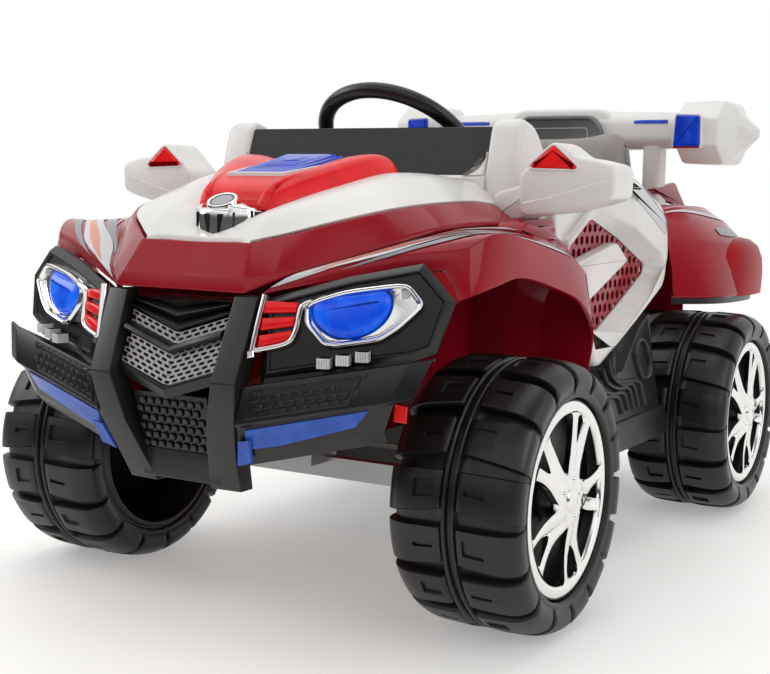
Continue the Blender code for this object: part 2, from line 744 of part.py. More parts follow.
def crowned(name, stations, narrowing, material):
    """A low housing along the hood: each station gives its place, half width and height."""
    sections = []
    for y, half, height in stations:
        ridge = on_hood(0, y, height)
        side = Vector((half * narrowing, ridge.y, max(ridge.z - 0.002, on_hood(half, y, 0.006).z)))
        left = Vector((-side.x, side.y, side.z))
        foot_middle, foot_right, foot_left = (on_hood(x, y, -PANEL) for x in (0, half, -half))
        sections.append([foot_middle, foot_right, side, ridge, left, foot_left])
    return loft(name, sections, material)


# Each station of a housing on the hood: place behind the axle, half width, height
BLOCK_STATIONS = [(-.178, .028, .006), (-.160, .040, .028), (-.1415, .044, .034)]
DOME_STATIONS = [(-.139, .050, .010), (-.110, .068, .036), (-.050, .100, .048), (.010, .118, .042),
                 (.052, .120, .020)]
WELL_FLOOR = .5185
WELL_HALF = .044
WELL_FRONT = -.092
WELL_BACK = .028
# The blue glass in the well: place behind the axle, height over the well's floor
GLASS_STEPS = [(WELL_FRONT + .0005, .004), (-.060, .018), (.000, .030), (WELL_BACK - .0005, .034)]


def hood_trim(seat_rows):
    """The chromed badge block, bare, and behind it the red dome with its blue lamp glass."""
    block = crowned("emblem_block", BLOCK_STATIONS, .8, "chrome")
    clear_of_hood(block, seat_rows)
    red = crowned("dome_light", DOME_STATIONS, .82, "red_lens")
    clear_of_hood(red, seat_rows)
    well_low = fore(-WELL_HALF, WELL_FRONT, WELL_FLOOR)
    cut(red, box("well", well_low, fore(WELL_HALF, WELL_BACK, WELL_FLOOR + .08)))
    sections = []
    for y, height in GLASS_STEPS:
        base = fore(WELL_HALF - GAP, y, WELL_FLOOR + GAP)
        top = fore(WELL_HALF * .8, y, WELL_FLOOR + height)
        sections.append([base, top, Vector((-top.x, top.y, top.z)), Vector((-base.x, base.y, base.z))])
    loft("dome_lens", sections, "blue_lens")


POST_LINE = [
    # height, inner x, outer x, front, back
    (.392, .077, .106, -.238, -.216),
    (.300, .072, .103, -NOSE_OVERHANG, -.246),
    (.245, .058, .095, -.264, -.234),
    (.200, .046, .084, -.244, -.216),
    (.172, .039, .080, -.230, -.206),
]
POST_GAP = .0019


def post_outer(z):
    return between([(-height, outer) for height, inner, outer, front, back in POST_LINE], -z)


def bull_bar():
    """The two bent posts and the bar across their feet."""
    sections = []
    for z, inner, outer, front, back in POST_LINE:
        sections.append([fore(inner, front, z), fore(outer, front + .002, z),
                         fore(outer, back, z), fore(inner, back, z)])
    left = loft("bull_bar", sections, "black_plastic")
    right = mirrored(left, "right_post")
    bar = box("bar", fore(-.055, -.236, .178), fore(.055, -.216, .212))
    unite(left, bar, right)


GRILLE_HALF = .0695
GRILLE_TOP = .384
GRILLE_LOW = .272
GRILLE_RISE = .022
GRILLE_SWEEP = .006
GRILLE_FOOT_HALF = .046
GRILLE_FOOT_TOP = .280
GRILLE_FOOT_LOW = .2125
MESH_THICKNESS = .004
# The front of the block at its middle: place, height, share of the V's rise that its sides get
GRILLE_FRONT = [(-.222, .386, 0), (-.238, .381, 0), (-.229, .369, .4), (-.241, .361, .7),
                (-.232, .352, 1), (-.243, .346, 1), (-.235, .341, 1), (-.255, .290, 1),
                (-.266, .286, 1), (-.262, GRILLE_LOW, 1)]


def v_stations(half):
    """The left end, the middle and the right end of a V, with the share of its rise at each."""
    return (-half, 1), (0, 0), (half, 1)


def grille_block():
    """The black grille block with its V louvers, and its foot behind the bar."""
    back = CORE_FRONT - GAP
    sections = []
    for x, share in v_stations(GRILLE_HALF):
        shape = []
        for y, z, lift in GRILLE_FRONT:
            height = min(z + GRILLE_RISE * lift * share, GRILLE_TOP)
            shape.append(fore(x, y + GRILLE_SWEEP * share, height))
        shape.append(fore(x, back, GRILLE_LOW + GRILLE_RISE * share))
        shape.append(fore(x, back, GRILLE_TOP))
        sections.append(shape)
    block = loft("grille_block", sections, "black_plastic")
    front = ((-.258, GRILLE_FOOT_TOP), (-.239, GRILLE_FOOT_LOW),
             (back, GRILLE_FOOT_LOW), (back, GRILLE_FOOT_TOP))
    foot_sections = [[fore(x, y, z) for y, z in front] for x in (-GRILLE_FOOT_HALF, GRILLE_FOOT_HALF)]
    unite(block, loft("foot", foot_sections, "black_plastic"))


def grille_mesh():
    """The silver mesh that lies on the slope between the lowest louver and the block's chin."""
    upper, lower = Vector((0, *GRILLE_FRONT[6][:2])), Vector((0, *GRILLE_FRONT[7][:2]))
    forward = (lower - upper).cross(Vector((1, 0, 0))).normalized()
    out = forward * MESH_THICKNESS
    sections = []
    for x, share in v_stations(GRILLE_HALF - .002):
        lifted = fore(x, GRILLE_SWEEP * share, GRILLE_RISE * share)
        top_back = upper.lerp(lower, .05) + lifted + forward * 2 * GAP
        low_back = upper.lerp(lower, .97) + lifted + forward * 2 * GAP
        sections.append([top_back, top_back + out, low_back + out, low_back])
    loft("grille_mesh", sections, "silver_paint")


def lamp_frame():
    """The leaning plane of a headlight: a matrix from (outward, up, forward) to the car."""
    out = Vector((cos(FASCIA_SWEEP), sin(FASCIA_SWEEP), 0))
    level = Vector((sin(FASCIA_SWEEP), -cos(FASCIA_SWEEP), 0))
    up = Vector((0, 0, cos(FASCIA_LEAN))) - level * sin(FASCIA_LEAN)
    forward = level * cos(FASCIA_LEAN) + Vector((0, 0, sin(FASCIA_LEAN)))
    place = Matrix((out, up, forward)).transposed().to_4x4()
    place.translation = fore(*FASCIA_CORNER)
    return place


FASCIA = [(0.008, -0.002), (0.099, 0.025), (0.176, 0.040), (0.211, 0.004), (0.193, -0.052), (0.172, -0.060),
          (0.008, -0.087)]
BEZEL = [(0.052, -0.004), (0.095, 0.011), (0.164, 0.022), (0.185, -0.003), (0.157, -0.030), (0.136, -0.044),
         (0.077, -0.054), (0.053, -0.028)]
LAMP = [(0.061, -0.014), (0.066, -0.001), (0.100, 0.007), (0.141, 0.012), (0.145, -0.006), (0.139, -0.021),
        (0.122, -0.034), (0.098, -0.042), (0.076, -0.036)]


def inset(outline, distance):
    """The outline moved inwards by a distance: it runs clockwise round its middle."""
    count = len(outline)
    area = sum(outline[i - 1][0] * outline[i][1] - outline[i][0] * outline[i - 1][1] for i in range(count))
    side = 1 if area > 0 else -1
    moved = []
    for i in range(count):
        before, here, after = (Vector(outline[k]) for k in (i - 1, i, (i + 1) % count))
        first, second = (here - before).normalized(), (after - here).normalized()
        normal = Vector((-first.y, first.x)) * side
        other = Vector((-second.y, second.x)) * side
        moved.append(tuple(here + (normal + other) * distance / (1 + normal.dot(other))))
    return moved


def lamp_plate(name, outline, low, high, material, holes=()):
    """A flat piece in a headlight's plane, between two depths along its forward axis."""
    piece = plate(name, outline, low, high, "XY", material, holes)
    piece.data.transform(lamp_frame())
    return piece


BUMPER_LINES = [
    # back edge and front edge of the top, low edge of the wing, strip top, strip bottom, lip
    ((.304, -.196, .337), (-.240, .297)),
    ((.304, -.200, .336), (-.258, .2965)),
    ((.289, -.214, .295), (-.266, .255)),
    ((.268, -.217, .288), (-.259, .250)),
    ((.254, -.212, .256), (-.250, .224)),
    ((.252, -.200, .244), (-.238, .204)),
]


def bumper_rows():
    """Lines across a bumper wing, each from the post to the wing's outer end."""
    rows = []
    for (x, y, z), (inner_y, inner_z) in BUMPER_LINES:
        start = fore(post_outer(inner_z) + POST_GAP, inner_y, inner_z)
        end = fore(x, y, z)
        rows.append([start.lerp(end, share) for share in (0, .45, 1)])
    return rows


def headlights():
    """On each side a black mask with its bumper wing, a chromed bezel and a blue lamp glass."""
    hole = inset(LAMP, -GAP)
    mask = lamp_plate("front_mask_left", FASCIA, -FASCIA_DEPTH, 0.0, "black_plastic", [hole])
    wing = sheet("wing", bumper_rows(), PANEL, "black_plastic", offset=1.0)
    low_edge = [(0.010, -0.080), (0.170, -0.052), (0.170, -0.066), (0.010, -0.098)]
    unite(mask, lamp_plate("web", low_edge, -FASCIA_DEPTH + .004, -.008, "black_plastic"), wing)
    mirrored(mask, "front_mask_right")
    bezel = lamp_plate("headlight_bezel_left", BEZEL, GAP, BEZEL_PROUD, "chrome", [hole])
    mirrored(bezel, "headlight_bezel_right")
    glass = lamp_plate("headlight_lens_left", LAMP, -FASCIA_DEPTH, BEZEL_PROUD - .003, "blue_lens")
    mirrored(glass, "headlight_lens_right")


FENDER_CREASE = [(.280, -.132, .424), (.300, -.118, .448), (.316, -.085, .464), (.322, -.045, .461),
                 (.324, -.005, .453), (.326, .055, .441), (.326, .115, .427), (.322, .165, .402)]
FENDER_ARCH = [(.299, -.136, .392), (.310, -.120, .398), (.320, -.090, .406), (.326, -.050, .414),
               (.329, -.010, .411), (.331, .055, .397), (.331, .125, .378), (.326, .178, .345)]
SKIRT_RISE = .0045
FENDER_TOE = (.116, -.2125, .390)
FLAP_ROWS = (
    [(.154, .195, .384), (.300, .192, .350), (.323, .190, .318)],
    [(.154, .180, .270), (.300, .182, .268), (.317, .183, .268)],
)


def front_fenders():
    """The red fenders: a slope from the hood to a crease, a band over the wheel, a flap behind it."""
    rows = []
    rests = [(x, y, z - 2 * GAP) for x, y, z in hood_lines()[3][2:]]
    before_last, last = Vector(rests[-2]), Vector(rests[-1])
    lips = [FENDER_TOE, *rests[:-1], tuple(before_last.lerp(last, 0.5)), tuple(last)]
    for lip, crease, arch in zip(lips, FENDER_CREASE, FENDER_ARCH):
        inner_x = min(CORE_HALF - .002, lip[0] - .004)
        inner_y = max(min(lip[1], CORE_BACK - .004), CORE_FRONT + .002)
        inner = (inner_x, inner_y, CORE_TOP + SKIRT_RISE)
        row = [fore(*inner), fore(*lip)]
        for share in (1 / 3, 2 / 3):
            middle = fore(*lip).lerp(fore(*crease), share)
            middle.z += .005
            row.append(middle)
        row += [fore(*crease), fore(*arch)]
        rows.append(row)
    for inner, knee, edge in FLAP_ROWS:
        start, bend = fore(*inner), fore(*knee)
        rows.append([start.lerp(bend, share) for share in (0, .3, .6, .85, 1)] + [fore(*edge)])
    left = sheet("front_fender_left", rows, PANEL, "red_gloss", offset=-1.0)
    mirrored(left, "front_fender_right")


PILLAR_OUTER = TUB_HALF - .001
PILLAR_INNER = .190
PILLAR_LINE = [(.132, .4995), (.132, .531), (.150, .594), (.166, .604), (.198, .596),
               (.238, .555), (.262, .490), (.262, .432), (.179, .432), (.179, .4995)]
BAR_FRONT = .129
BAR_BACK = .165
BAR_LOW = .500
BAR_TOP = .530


def windshield(seat_rows):
    """The white cowl with its two fairings, and the dark plate that stands between them."""
    half = PILLAR_INNER + .01
    bar_low, bar_high = fore(-half, BAR_FRONT, BAR_LOW), fore(half, BAR_BACK, BAR_TOP)
    bar = box("windshield_cowl", bar_low, bar_high, "white_gloss")
    side = [fore(0, y, z).yz for y, z in PILLAR_LINE]
    for name, low in (("left", PILLAR_INNER), ("right", -PILLAR_OUTER)):
        pillar = plate(name, side, low, low + PILLAR_OUTER - PILLAR_INNER, "YZ", "white_gloss")
        unite(bar, bevel(pillar, .006, radians(60)))
    clear_of_hood(bar, seat_rows)
    edge = PILLAR_INNER - GAP
    rows = [[fore(x, y, z) for x in (-edge, edge)] for y, z in ((.1585, .5925), (.1365, BAR_TOP + GAP))]
    sheet("windshield", rows, GLASS, "dark_glass", offset=-1.0)


def dashboard_face(x, down, out):
    """A point by the sloping face of the dashboard, which lies square to the column."""
    center, axis = column_axis()
    down_face = Vector((0, axis.z, -axis.y))
    face = center - axis * .030
    return face + down_face * down + axis * out + Vector((x, 0, 0))


BUTTON_PLACE = (.150, .030)
LEVER_BALL = .0085
KNOB_REACH = .052
KNOB_RADIUS = .012


def dashboard():
    """The dashboard, with the column's bearing and the two controls set in it."""
    half = PILLAR_INNER - GAP
    line = [fore(0, BAR_BACK + GAP, .508), fore(0, BAR_BACK + GAP, .574), dashboard_face(0, -.034, 0),
            dashboard_face(0, .090, 0), dashboard_face(0, .090, 0) + Vector((0, -.004, -.050))]
    rows = [[Vector((x, point.y, point.z)) for x in (-half, half)] for point in line]
    panel = sheet("dashboard", rows, PANEL, "black_plastic", offset=-1.0)
    bore = COLUMN_RADIUS + GAP
    cut(panel, rod("bore", dashboard_face(0, 0, -.03), dashboard_face(0, 0, .02), bore, sides=12))
    start_button(panel)
    gear_lever(panel)


def start_button(panel):
    """The round button that switches the car on."""
    x, down = BUTTON_PLACE
    hole = BUTTON_RADIUS + GAP
    cut(panel, rod("hole", dashboard_face(x, down, -.02), dashboard_face(x, down, .01), hole, sides=16))
    low, high = dashboard_face(x, down, -.008), dashboard_face(x, down, .005)
    start = rod("start_button", low, high, BUTTON_RADIUS, "red_lens", 16)
    pivot_at(start, dashboard_face(x, down, 0))


def gear_lever(panel):
    """The lever for forward and reverse, on a ball in the dashboard's skin."""
    axis = column_axis()[1]
    x, down = BUTTON_PLACE
    lever_at = dashboard_face(-x, down, -PANEL / 2)
    socket = LEVER_BALL + GAP
    cut(panel, rod("socket", lever_at - axis * .02, lever_at + axis * .02, socket, sides=16))
    turn = axis.to_track_quat("Z", "X").to_matrix().to_4x4()
    lever = ball("gear_lever", Matrix.Translation(lever_at) @ turn, LEVER_BALL, "black_plastic")
    knob_at = lever_at + axis * KNOB_REACH
    knob_low, knob_high = knob_at - axis * .004, knob_at + axis * .022
    unite(lever, rod("stem", lever_at, knob_at, LEVER_RADIUS, "black_plastic", 10),
          rod("knob", knob_low, knob_high, KNOB_RADIUS, "black_plastic", 12))
    pivot_at(lever, lever_at)


PEDAL_X = -.085
PEDAL_HALF = .030
PEDAL_PIN = .0025
PEDAL_LEAN = radians(31)
PEDAL_LENGTH = .095


def pedal():
    """The accelerator pedal on its pin between two ears of the floor tub."""
    tub = bpy.data.objects["chassis_tub"]
    hinge = fore(PEDAL_X, .276, TUB_BOTTOM + TUB_WALL + .012)
    across = Vector((1, 0, 0))
    for side in (-1, 1):
        near = hinge.x + side * (PEDAL_HALF + GAP)
        far = near + side * .006
        low_x, high_x = sorted((near, far))
        floor = hinge.z - .014
        ear = box("ear", (low_x, hinge.y - .008, floor), (high_x, hinge.y + .008, hinge.z + .008))
        reach = across * (PEDAL_HALF + .012)
        cut(ear, rod("hole", hinge - reach, hinge + reach, PEDAL_PIN + GAP, sides=10))
        unite(tub, ear)
    wide = across * PEDAL_HALF
    reach = across * (PEDAL_HALF + .006)
    lever = rod("accelerator_pedal", hinge - wide, hinge + wide, .006, "black_plastic", 12)
    unite(lever, rod("pin", hinge - reach, hinge + reach, PEDAL_PIN, "steel", 10))
    lean = Vector((0, -sin(PEDAL_LEAN), cos(PEDAL_LEAN)))
    face = Vector((0, cos(PEDAL_LEAN), sin(PEDAL_LEAN)))
    corners = ((-.004, .002), (.003, .002), (.003, PEDAL_LENGTH), (-.004, PEDAL_LENGTH))
    inner = across * (PEDAL_HALF - .003)
    ends = [[hinge + out * face + lean * along + end for out, along in corners] for end in (-inner, inner)]
    unite(lever, loft("plate", ends, "black_plastic"))
    pivot_at(lever, hinge)


# The seat's section from its front edge to the foot of its back, and the headrest's outline
SEAT_LINE = [(-.28, .290), (-.272, .332), (-.25, .338), (-.095, .322), (-.078, .335), (-.038, .590),
             (-.022, .606), (-.008, .598), (-.035, .420), (-.048, TUB_TOP + GAP)]
HEADREST_LINE = [(-.080, .560), (-.080, .612), (-.068, .634), (-.040, .641), (.040, .641),
                 (.068, .634), (.080, .612), (.080, .560)]


def seat():
    """The moulded seat: its pan rests on the tub, and its back rises in front of the rear bar."""
    half = TUB_REAR_HALF
    rows = [[aft(x, y, z) for x in (-half, half)] for y, z in SEAT_LINE]
    sheet("seat", rows, PANEL, "seat_grey", offset=-1.0)
    panel = [aft(x, 0, z).xz for x, z in HEADREST_LINE]
    back = aft(0, RACK_FRONT, 0).y - GAP
    plate("headrest_panel", panel, back - HEADREST_DEPTH, back, "XZ", "silver_paint")


RACK_FRONT = .050
RACK_MIDDLE = (.082, .618)
POD_MIDDLE = (.076, .612)
POD_HALF = .084
# A lamp housing from its inner end: distance from the car's middle, half depth, half height
POD_STATIONS = [(.222, .062, .036), (.232, POD_HALF, .050), (.300, .080, .052), (.335, .060, .040),
                (.362, .022, .016)]
OCTAGON = [(1, .5), (.5, 1), (-.5, 1), (-1, .5), (-1, -.5), (-.5, -1), (.5, -1), (1, -.5)]
LAMP_GLASS_LINE = [(.2335, .590), (.2335, .636), (.272, .633), (.272, .593)]


def rear_bar():
    """The white bar over the tail, its two legs and the lamp housings at its ends."""
    y, z = RACK_MIDDLE
    pod_y, pod_z = POD_MIDDLE
    depth, height = y - RACK_FRONT, .034
    sections = [[aft(x, y + a * depth, z + b * height) for a, b in OCTAGON] for x in (-.230, .230)]
    bar = loft("rear_bar", sections, "white_gloss")
    for side in (-1, 1):
        low_x, high_x = sorted((side * .150, side * .180))
        leg = box("leg", aft(low_x, .070, DECK_TOP + GAP), aft(high_x, .098, .605), "white_gloss")
        pod = []
        for x, deep, tall in POD_STATIONS:
            pod.append([aft(side * x, pod_y + a * deep, pod_z + b * tall) for a, b in OCTAGON])
        unite(bar, leg, loft("pod", pod, "white_gloss"))
        low_x, high_x = sorted((side * .242, side * .322))
        cut(bar, box("pod_hollow", aft(low_x, .026, .550), aft(high_x, .126, .645)))
    cut(bar, box("bar_hollow", aft(-.145, y - .022, .570), aft(.145, y + .022, z + .022)))
    corners = [aft(x, 0, z).xz for x, z in LAMP_GLASS_LINE]
    front = aft(0, pod_y - POD_HALF, 0).y
    glass = plate("rear_lamp_glass_left", corners, front - .008, front - GAP, "XZ", "blue_lens")
    mirrored(glass, "rear_lamp_glass_right")


DECK_TOP = .492
DECK_HALF = .1895
REAR_BUMPER_LOW = .205
REAR_BUMPER_TOP = .275
# A rear fender: place behind the axle, then (outward, height) of its shoulder, crease and low edge
REAR_FENDER_STATIONS = [
    (-.116, (.236, .478), (.262, .440), (.276, .348)),
    (-.050, (.246, .490), (.300, .436), (.322, .347)),
    (.030, (.250, .492), (.318, .432), (.335, .346)),
    (.120, (.245, .488), (.318, .428), (.333, .346)),
    (.186, (.222, .476), (.290, .420), (.305, .350)),
]


def tail():
    """The red rear fenders, the deck and back panel between them, and the black rear bumper."""
    rows = []
    for y, *edges in REAR_FENDER_STATIONS:
        inner = aft(DECK_HALF + RUNNING_GAP, y, DECK_TOP - .004)
        rows.append([inner] + [aft(x, y, z) for x, z in edges])
    left = sheet("rear_fender_left", rows, PANEL, "red_gloss", offset=-1.0)
    mirrored(left, "rear_fender_right")
    back = TAIL_FACE_Y
    line = [(aft(0, .002, 0).y, DECK_TOP), (aft(0, .150, 0).y, DECK_TOP), (back - .004, .470), (back, .440),
            (back, .200)]
    rows = [[Vector((x, y, z + LIFT)) for x in (-DECK_HALF, DECK_HALF)] for y, z in line]
    sheet("rear_panel", rows, PANEL, "red_gloss", offset=-1.0)
    half = REAR_WHEEL_X - TYRE_WIDTH / 2 - WHEEL_CLEARANCE
    low = Vector((-half, LENGTH / 2 - BUMPER_DEPTH, REAR_BUMPER_LOW + LIFT))
    high = Vector((half, LENGTH / 2, REAR_BUMPER_TOP + LIFT))
    bevel(box("rear_bumper", low, high), .004)


# Side outlines, from the front: share of the wheelbase behind the front axle, height
FRAME_OUTLINE = [(.3093, .440), (.2933, .487), (.4000, .515), (.5133, .540), (.5600, .558), (.6067, .545),
                 (.6733, .521), (.8120, .478), (.8320, .440), (.8227, .405), (.7827, .347), (.6707, .315),
                 (.5680, .262), (.4600, .254), (.4000, .300), (.3493, .360)]
FRAME_HOLE = [(.3280, .440), (.3920, .476), (.6747, .404), (.6493, .375), (.4440, .321), (.4000, .345)]
MESH_OUTLINE = [(.3147, .440), (.3867, .490), (.6933, .408), (.6627, .366), (.5333, .296), (.4400, .276),
                (.3867, .345)]
SILL_OUTLINE = [(.3040, .150), (.6933, .150), (.7413, .185), (.7467, .333), (.6707, .311), (.5680, .258),
                (.4600, .250), (.3040, .250)]
SILL_HEIGHT = .18
SILL_TOP_X = .262
# The rings of a footboard from the tub outwards: outward place at its foot and at its top, shrinking
SILL_RINGS = [(.288, .264, .003), (.296, SILL_TOP_X, .008)]
SILL_HOLLOW = .085


def middle_point(y, z):
    """A point between the axles, its place given as a share of the wheelbase."""
    point = fore(0, y * WHEELBASE, z)
    return point.y, point.z


def sides():
    """On each side the white frame round the red mesh panel, and the black ribbed footboard below."""
    outline, hole, panel = ([middle_point(*point) for point in line]
                            for line in (FRAME_OUTLINE, FRAME_HOLE, MESH_OUTLINE))
    inner = TUB_HALF + GAP
    mesh = plate("side_mesh_left", panel, inner, inner + MESH_OUT, "YZ", "red_gloss")
    mirrored(mesh, "side_mesh_right")
    start = inner + MESH_OUT + GAP
    frame = plate("side_frame_left", outline, start, start + FRAME_DEPTH, "YZ", "white_gloss", [hole])
    rim = FRAME_RIM
    pocket_top = start + FRAME_DEPTH - rim
    pocket = plate("pocket", inset(outline, rim), start - .01, pocket_top, "YZ", holes=[inset(hole, -rim)])
    cut(frame, pocket)
    mirrored(frame, "side_frame_right")


def footboards():
    """The ribbed footboard along each side, moulded in one with the tub and hollow from below."""
    tub = bpy.data.objects["chassis_tub"]
    section = [middle_point(*p) for p in SILL_OUTLINE]
    bottom = min(z for y, z in section)
    inner = TUB_HALF - TUB_WALL / 2
    rings = []
    for x_low, x_high, shrink in [(inner, inner, 0.0)] + SILL_RINGS:
        ring = []
        for y, z in inset(section, shrink):
            share = min((z - bottom) / SILL_HEIGHT, 1.0)
            ring.append(Vector((x_low + (x_high - x_low) * share, y, z)))
        rings.append(ring)
    board = loft("board", rings, "black_plastic")
    front_y, back_y = section[0][0] + TUB_WALL, section[1][0] - TUB_WALL
    hollow_low = Vector((TUB_HALF + TUB_WALL / 2, front_y, bottom - .01))
    hollow_high = Vector((SILL_TOP_X - TUB_WALL, back_y, bottom + SILL_HOLLOW))
    cut(board, box("hollow", hollow_low, hollow_high))
    unite(tub, board, mirrored(board, "board_right"))


MIRROR_FACE = [(.252, .542), (.274, .546), (.303, .571), (.332, .552), (.377, .547), (.382, .502),
               (.300, .480), (.257, .494)]
MIRROR_MIDDLE = (.318, .524)
# A mirror's housing from its face back: place behind the axle, share of its full outline
MIRROR_STATIONS = [(.094, .90), (.112, 1.0), (.158, 1.0), (.166, .94)]


def mirrors():
    """The two side mirrors, each a wedge on a short neck at the windshield fairing."""
    middle_x, middle_z = MIRROR_MIDDLE
    sections = []
    for y, scale in MIRROR_STATIONS:
        sections.append([fore(middle_x + (x - middle_x) * scale, y, middle_z + (z - middle_z) * scale)
                         for x, z in MIRROR_FACE])
    left = loft("mirror_left", sections, "white_gloss")
    unite(left, box("neck", fore(PILLAR_OUTER + GAP, .134, .503), fore(.275, .154, .530), "white_gloss"))
    mirrored(left, "mirror_right")


def all_pieces():
    wheels()
    front_axle_beam()
    knuckles()
    tie_rod()
    steering()
    steering_shaft()
    front_body()
    chassis_tub()
    rear_drive()
    seat_rows = hood()
    hood_trim(seat_rows)
    bull_bar()
    grille_block()
    grille_mesh()
    headlights()
    front_fenders()
    windshield(seat_rows)
    dashboard()
    pedal()
    seat()
    rear_bar()
    tail()
    sides()
    footboards()
    mirrors()


all_pieces()
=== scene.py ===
# %% [markdown]
# # A child's electric ride-on car, dressed for the studio
# The car is a set of blow-moulded and injection-moulded plastic shells, screwed round a floor tub.
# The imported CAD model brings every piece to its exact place. This script keeps that frame fixed and
# gives each piece its real form and finish: soft moulded edges, gloss and satin plastic, chrome
# plating, coloured lamp glass, tread, mesh and small trim.

from math import cos, pi, radians, sin

import bmesh
import bpy
from mathutils import Matrix, Vector


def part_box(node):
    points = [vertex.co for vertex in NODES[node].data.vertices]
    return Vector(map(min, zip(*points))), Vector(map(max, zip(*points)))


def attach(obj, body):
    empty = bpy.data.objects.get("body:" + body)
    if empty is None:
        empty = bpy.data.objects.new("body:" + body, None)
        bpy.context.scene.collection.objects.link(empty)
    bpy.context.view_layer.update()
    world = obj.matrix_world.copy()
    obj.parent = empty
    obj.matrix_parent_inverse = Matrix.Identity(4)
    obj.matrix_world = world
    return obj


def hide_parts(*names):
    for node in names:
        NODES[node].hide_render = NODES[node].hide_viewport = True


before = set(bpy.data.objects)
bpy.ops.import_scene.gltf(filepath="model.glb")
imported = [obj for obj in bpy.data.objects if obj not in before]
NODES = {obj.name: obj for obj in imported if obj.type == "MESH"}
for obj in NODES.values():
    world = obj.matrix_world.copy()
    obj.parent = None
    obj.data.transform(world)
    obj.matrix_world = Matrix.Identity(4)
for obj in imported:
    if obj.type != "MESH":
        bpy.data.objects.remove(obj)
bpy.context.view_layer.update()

# %% [markdown]
# ## Camera
# A photograph is a view from one place with one focal length. The place and the turn below were
# worked out from matching points on the two sides of the car. The axes are written out as a matrix,
# because that is the plainest way to give a camera a small roll.

# %% Camera at the photograph's viewing angle
CAMERA_PLACE = Vector((.966, -1.746, .51))
CAMERA_BACK = Vector((.5095, -.8536, .1092)).normalized()
CAMERA_ROLL = radians(.951)
CAMERA_LENS = 62.74
SENSOR_WIDTH = 36.0


def camera_matrix(place, back, roll):
    """Axes of a camera that looks against back, turned by a small roll."""
    right = Vector((0, 0, 1)).cross(back).normalized()
    up = back.cross(right)
    turned_right = right * cos(roll) + up * sin(roll)
    turned_up = up * cos(roll) - right * sin(roll)
    axes = Matrix((turned_right, turned_up, back)).transposed()
    return Matrix.Translation(place) @ axes.to_4x4()


camera_data = bpy.data.cameras.new("studio_camera")
camera_data.lens = CAMERA_LENS
camera_data.sensor_width = SENSOR_WIDTH
camera = bpy.data.objects.new("studio_camera", camera_data)
camera.matrix_world = camera_matrix(CAMERA_PLACE, CAMERA_BACK, CAMERA_ROLL)
bpy.context.scene.collection.objects.link(camera)
bpy.context.scene.camera = camera
bpy.context.scene.view_settings.view_transform = "Standard"
print("camera at", tuple(CAMERA_PLACE), "lens", CAMERA_LENS, "mm")

# %% [markdown]
# ## Studio
# The car stands on a pale floor that runs into a white background. The background is white only to
# the camera and to reflections, so it doesn't light the car. Plastic and chrome get their shape from
# what they mirror: white above and behind, and a darker room in front. Three wide lamps give the
# soft, almost shadowless light.


# %% Node helpers
def new_node(tree, kind, inputs={}, **settings):
    """Add a node and set its properties, then set its inputs or link them to outputs."""
    node = tree.nodes.new(kind)
    for key, value in settings.items():
        setattr(node, key, value)
    for socket, value in inputs.items():
        if isinstance(value, bpy.types.NodeSocket):
            tree.links.new(value, node.inputs[socket])
        else:
            node.inputs[socket].default_value = value
    return node


def curve_between(tree, value, low, high, out_low=0.0, out_high=1.0):
    """A smooth Map Range from value."""
    limits = {"From Min": low, "From Max": high, "To Min": out_low, "To Max": out_high}
    node = new_node(tree, "ShaderNodeMapRange", interpolation_type="SMOOTHSTEP",
                    inputs={"Value": value, **limits})
    return node.outputs["Result"]


def math(tree, operation, first, second=None):
    """A Math node. Each of its inputs is a number or an output socket."""
    inputs = {0: first} if second is None else {0: first, 1: second}
    return new_node(tree, "ShaderNodeMath", operation=operation, inputs=inputs).outputs["Value"]


print("node helpers ready")

# %% World: white to the camera, a soft grey room to reflections
AMBIENT_LIGHT = .62
ROOM_DARK = .1
OVERHEAD_LIGHT = .3

world = bpy.data.worlds.new("studio")
world.use_nodes = True
bpy.context.scene.world = world
tree = world.node_tree
tree.nodes.clear()
direction = new_node(tree, "ShaderNodeTexCoord").outputs["Generated"]
axes = new_node(tree, "ShaderNodeSeparateXYZ", inputs={"Vector": direction}).outputs
overhead = curve_between(tree, axes["Z"], .62, .9, 1.0, OVERHEAD_LIGHT)
height = curve_between(tree, axes["Z"], .1, .45)
behind = curve_between(tree, axes["Y"], -.1, .55)
dimmed = math(tree, "MULTIPLY", math(tree, "MAXIMUM", height, behind), overhead)
room = curve_between(tree, dimmed, 0.0, 1.0, ROOM_DARK, 1.0)
ray = new_node(tree, "ShaderNodeLightPath").outputs
seen_through = math(tree, "MAXIMUM", ray["Is Camera Ray"], ray["Is Transmission Ray"])
reflected = new_node(tree, "ShaderNodeMix", data_type="FLOAT",
                     inputs={"Factor": ray["Is Glossy Ray"], "A": AMBIENT_LIGHT, "B": room})
strength = new_node(tree, "ShaderNodeMix", data_type="FLOAT",
                    inputs={"Factor": seen_through, "A": reflected.outputs["Result"], "B": 1.0})
background = new_node(tree, "ShaderNodeBackground",
                      inputs={"Color": (1, 1, 1, 1), "Strength": strength.outputs["Result"]})
new_node(tree, "ShaderNodeOutputWorld", inputs={"Surface": background.outputs["Background"]})
print("world nodes:", len(tree.nodes))


# %% Lamps: a wide one overhead, one from the left and a weak one at the right
def softbox(name, place, target, size, power):
    """A square area lamp that points at target."""
    data = bpy.data.lights.new(name, "AREA")
    data.shape = "RECTANGLE"
    data.size, data.size_y = size
    data.energy = power
    lamp = bpy.data.objects.new(name, data)
    aim = (Vector(target) - Vector(place)).to_track_quat("-Z", "Y")
    lamp.matrix_world = Matrix.Translation(place) @ aim.to_matrix().to_4x4()
    bpy.context.scene.collection.objects.link(lamp)
    return lamp


